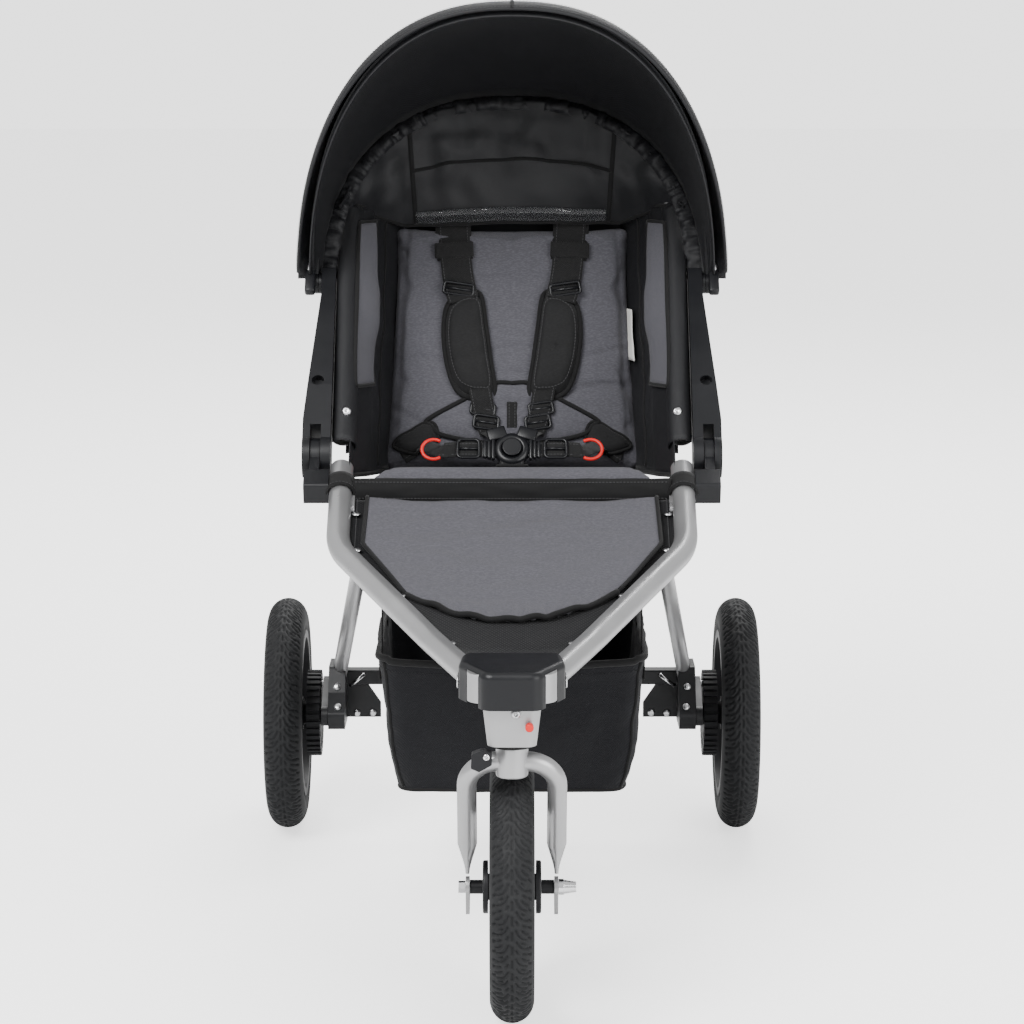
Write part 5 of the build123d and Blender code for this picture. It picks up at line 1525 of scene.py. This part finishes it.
def build_hardware():
    """Screws and rivets, the hood's brackets, and the bezels round recesses."""
    for side, sign in SIDES:
        recess = along(sign * 239, 96, 8.5)
        dot(f"arm_screw_{side}", recess, OUT, 0.0048, "upper_frame", kind="screw")
        rim = [
            along(sign * 239, 96, 14) + OUT * 0.0009 + (Vector((1, 0, 0)) * math.cos(a) + UP * math.sin(a)) * 0.0092
            for a in np.linspace(0, 2 * math.pi, 40, endpoint=False)
        ]
        bezel = tube(f"arm_recess_rim_{side}", rim, 0.0012, "nylon_black", closed=True, sides=10)
        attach(bezel, "upper_frame")
        fasteners = (
            ((230, 684.6, 203.0), (0, -0.83, 0.55)), ((228, 664.0, 181.5), (0, -0.68, 0.73)),
            ((206, 734.6, 153.5), (0, -1, 0)), ((185, 734.6, 154.0), (0, -1, 0)),
        )
        for k, (place, facing) in enumerate(fasteners):
            x, behind, z = place
            dot(f"bracket_rivet_{side}_{k}", at(sign * x, behind, z), facing, 0.0048, "rear_frame")
        ends = [at(sign * 215, 732, 191), at(sign * 195, 730, 208)]
        rod = tube(f"bracket_rod_{side}", ends, 0.0025, "bright_chrome", sides=16)
        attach(rod, "rear_frame")
        hub = HOOD + Vector((sign * 0.2535, 0, 0))
        block = rounded_box(
            f"hood_bracket_{side}", hub + UP * -0.010 + OUT * 0.016, (Vector((1, 0, 0)), UP),
            (0.013, 0.034, 0.012), "nylon_black", 0.003,
        )
        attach(block, "upper_frame")
        tip = lathe(
            f"hood_bracket_tip_{side}", [(0, 0.0042), (0.004, 0.0040), (0.010, 0.0016), (0.0115, 0.0)],
            hub + UP * 0.007 + OUT * 0.021, OUT + UP * 0.6, "zinc_steel", 20,
        )
        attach(tip, "upper_frame")
        dot(f"hood_pin_{side}", HOOD + Vector((sign * 0.2562, 0, 0)), (sign, 0, 0), 0.0052, "upper_frame")
        for k, s in enumerate((-22, 22)):
            dot(f"fold_rivet_{side}_{k}", along(sign * 252.3, 40 + s, 2), (sign, 0, 0), 0.0045, "upper_frame")
    dot("head_screw", at(4.3, -109.6, 384.6), (0, -1, 0), 0.0052, "frame", kind="screw")
    dot("latch_bolt", at(-28, -106.6, 335), (0, -1, 0), 0.0038, "frame", "bright_chrome", "screw")
    for side, sign in SIDES:
        rim = [
            at(sign * 59, -59, 408) + Vector((sign * 0.0006, 0.0062 * math.cos(a), 0.0062 * math.sin(a)))
            for a in np.linspace(0, 2 * math.pi, 32, endpoint=False)
        ]
        bezel = tube(f"head_hole_rim_{side}", rim, 0.0012, "zinc_steel", closed=True, sides=10)
        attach(bezel, "frame")


# ---- studio -------------------------------------------------------------------------------------------------
CAMERA_AHEAD, CAMERA_HEIGHT, CAMERA_PITCH = 3.878, 1.424, 12.2


def build_studio():
    """The pale floor, soft lamps and camera."""
    scene = bpy.context.scene
    size = 9.0
    corners = [(x * size, y * size, -0.0005) for x, y in ((-1, -1), (1, -1), (1, 1), (-1, 1))]
    floor = add_mesh("studio_floor", corners, [(0, 1, 2, 3)], "studio_floor", smooth=False)
    world = bpy.data.worlds.new("Studio")
    scene.world = world
    world.use_nodes = True
    sky = world.node_tree.nodes["Background"]
    sky.inputs["Color"].default_value = (1.0, 1.0, 1.0, 1)
    tree = world.node_tree
    seen = maths(tree, "MULTIPLY", tree.nodes.new("ShaderNodeLightPath").outputs["Is Camera Ray"], 1.6)
    tree.links.new(maths(tree, "ADD", seen, 0.8), sky.inputs["Strength"])
    lamps = (
        ("key", (-1.8, -2.6, 3.4), 2.2, 235),
        ("fill", (2.4, -2.6, 1.6), 2.4, 95),
        ("rim", (0.4, 2.6, 2.8), 2.2, 110),
    )
    for name, place, width, power in lamps:
        light = bpy.data.lights.new(f"studio_{name}", "AREA")
        light.shape = "SQUARE"
        light.size = width
        light.energy = power
        lamp = bpy.data.objects.new(f"studio_{name}", light)
        lamp.location = place
        lamp.rotation_mode = "QUATERNION"
        lamp.rotation_quaternion = (Vector((0, 0, 0.55)) - Vector(place)).to_track_quat("-Z", "Y")
        scene.collection.objects.link(lamp)
    camera = bpy.data.cameras.new("studio_camera")
    camera.sensor_width = 36
    camera.lens = scene.stroller_sizes.lens
    camera.clip_end = 60
    view = bpy.data.objects.new("studio_camera", camera)
    view.location = (0, AXLE.y - CAMERA_AHEAD, CAMERA_HEIGHT)
    view.rotation_euler = (math.radians(90 - CAMERA_PITCH), 0, 0)
    scene.collection.objects.link(view)
    scene.camera = view


# ---- operators and panel ------------------------------------------------------------------------------------
class STROLLER_OT_materials(bpy.types.Operator):
    """Makes every material and dresses the frame in them"""

    bl_idname = "stroller.materials"
    bl_label = "Materials"

    def execute(self, context):
        build_materials()
        return {"FINISHED"}


class STROLLER_OT_wheels(bpy.types.Operator):
    """Builds the three tyres with their tread"""

    bl_idname = "stroller.wheels"
    bl_label = "Tyres"

    def execute(self, context):
        build_tyre("front_tread", "front_tyre", "front_wheel")
        for side, _ in SIDES:
            build_tyre(f"rear_tread_{side}", f"rear_tyre_{side}", f"wheel_{side}")
        return {"FINISHED"}


class STROLLER_OT_hood(bpy.types.Operator):
    """Builds the hood's skin, its gathered edge and the rear curtain"""

    bl_idname = "stroller.hood"
    bl_label = "Hood"

    def execute(self, context):
        build_hood()
        build_gather()
        build_curtain()
        return {"FINISHED"}


class STROLLER_OT_cushions(bpy.types.Operator):
    """Fills the seat and back cushions, and lays the harness on them"""

    bl_idname = "stroller.cushions"
    bl_label = "Cushions and Harness"

    def execute(self, context):
        back, seat = build_cushions()
        build_harness(back, seat)
        return {"FINISHED"}


class STROLLER_OT_cloth(bpy.types.Operator):
    """Builds the seat front, foot panel, side panels and basket"""

    bl_idname = "stroller.cloth"
    bl_label = "Panels and Basket"

    def execute(self, context):
        build_seat_front()
        build_foot_panel()
        build_side_panels()
        build_basket()
        return {"FINISHED"}


class STROLLER_OT_hardware(bpy.types.Operator):
    """Adds the screws, rivets and hood brackets"""

    bl_idname = "stroller.hardware"
    bl_label = "Hardware"

    def execute(self, context):
        build_hardware()
        return {"FINISHED"}


class STROLLER_OT_studio(bpy.types.Operator):
    """Adds the floor, lamps and camera"""

    bl_idname = "stroller.studio"
    bl_label = "Studio"

    def execute(self, context):
        build_studio()
        return {"FINISHED"}


OPERATORS = (
    STROLLER_OT_materials, STROLLER_OT_wheels, STROLLER_OT_hood, STROLLER_OT_cushions, STROLLER_OT_cloth,
    STROLLER_OT_hardware, STROLLER_OT_studio,
)


class STROLLER_PT_panel(bpy.types.Panel):
    """The stroller's colours, sizes and build steps"""

    bl_idname = "STROLLER_PT_panel"
    bl_label = "Three-Wheel Stroller"
    bl_space_type = "VIEW_3D"
    bl_region_type = "UI"
    bl_category = "Stroller"

    def draw(self, context):
        layout = self.layout
        for settings in (context.scene.stroller_colours, context.scene.stroller_sizes):
            box = layout.box()
            for name in settings.__annotations__:
                box.prop(settings, name)
        for operator in OPERATORS:
            layout.operator(operator.bl_idname)


CLASSES = (StrollerColours, StrollerSizes, *OPERATORS, STROLLER_PT_panel)


def register():
    """Registers the settings, operators and panel."""
    for item in CLASSES:
        bpy.utils.register_class(item)
    bpy.types.Scene.stroller_colours = bpy.props.PointerProperty(type=StrollerColours)
    bpy.types.Scene.stroller_sizes = bpy.props.PointerProperty(type=StrollerSizes)


def unregister():
    """Takes them away again."""
    del bpy.types.Scene.stroller_sizes
    del bpy.types.Scene.stroller_colours
    for item in reversed(CLASSES):
        bpy.utils.unregister_class(item)


def main():
    """Builds everything."""
    register()
    bpy.ops.stroller.materials()
    bpy.ops.stroller.wheels()
    bpy.ops.stroller.hood()
    bpy.ops.stroller.cushions()
    bpy.ops.stroller.cloth()
    bpy.ops.stroller.hardware()
    bpy.ops.stroller.studio()


if __name__ == "__main__":
    main()
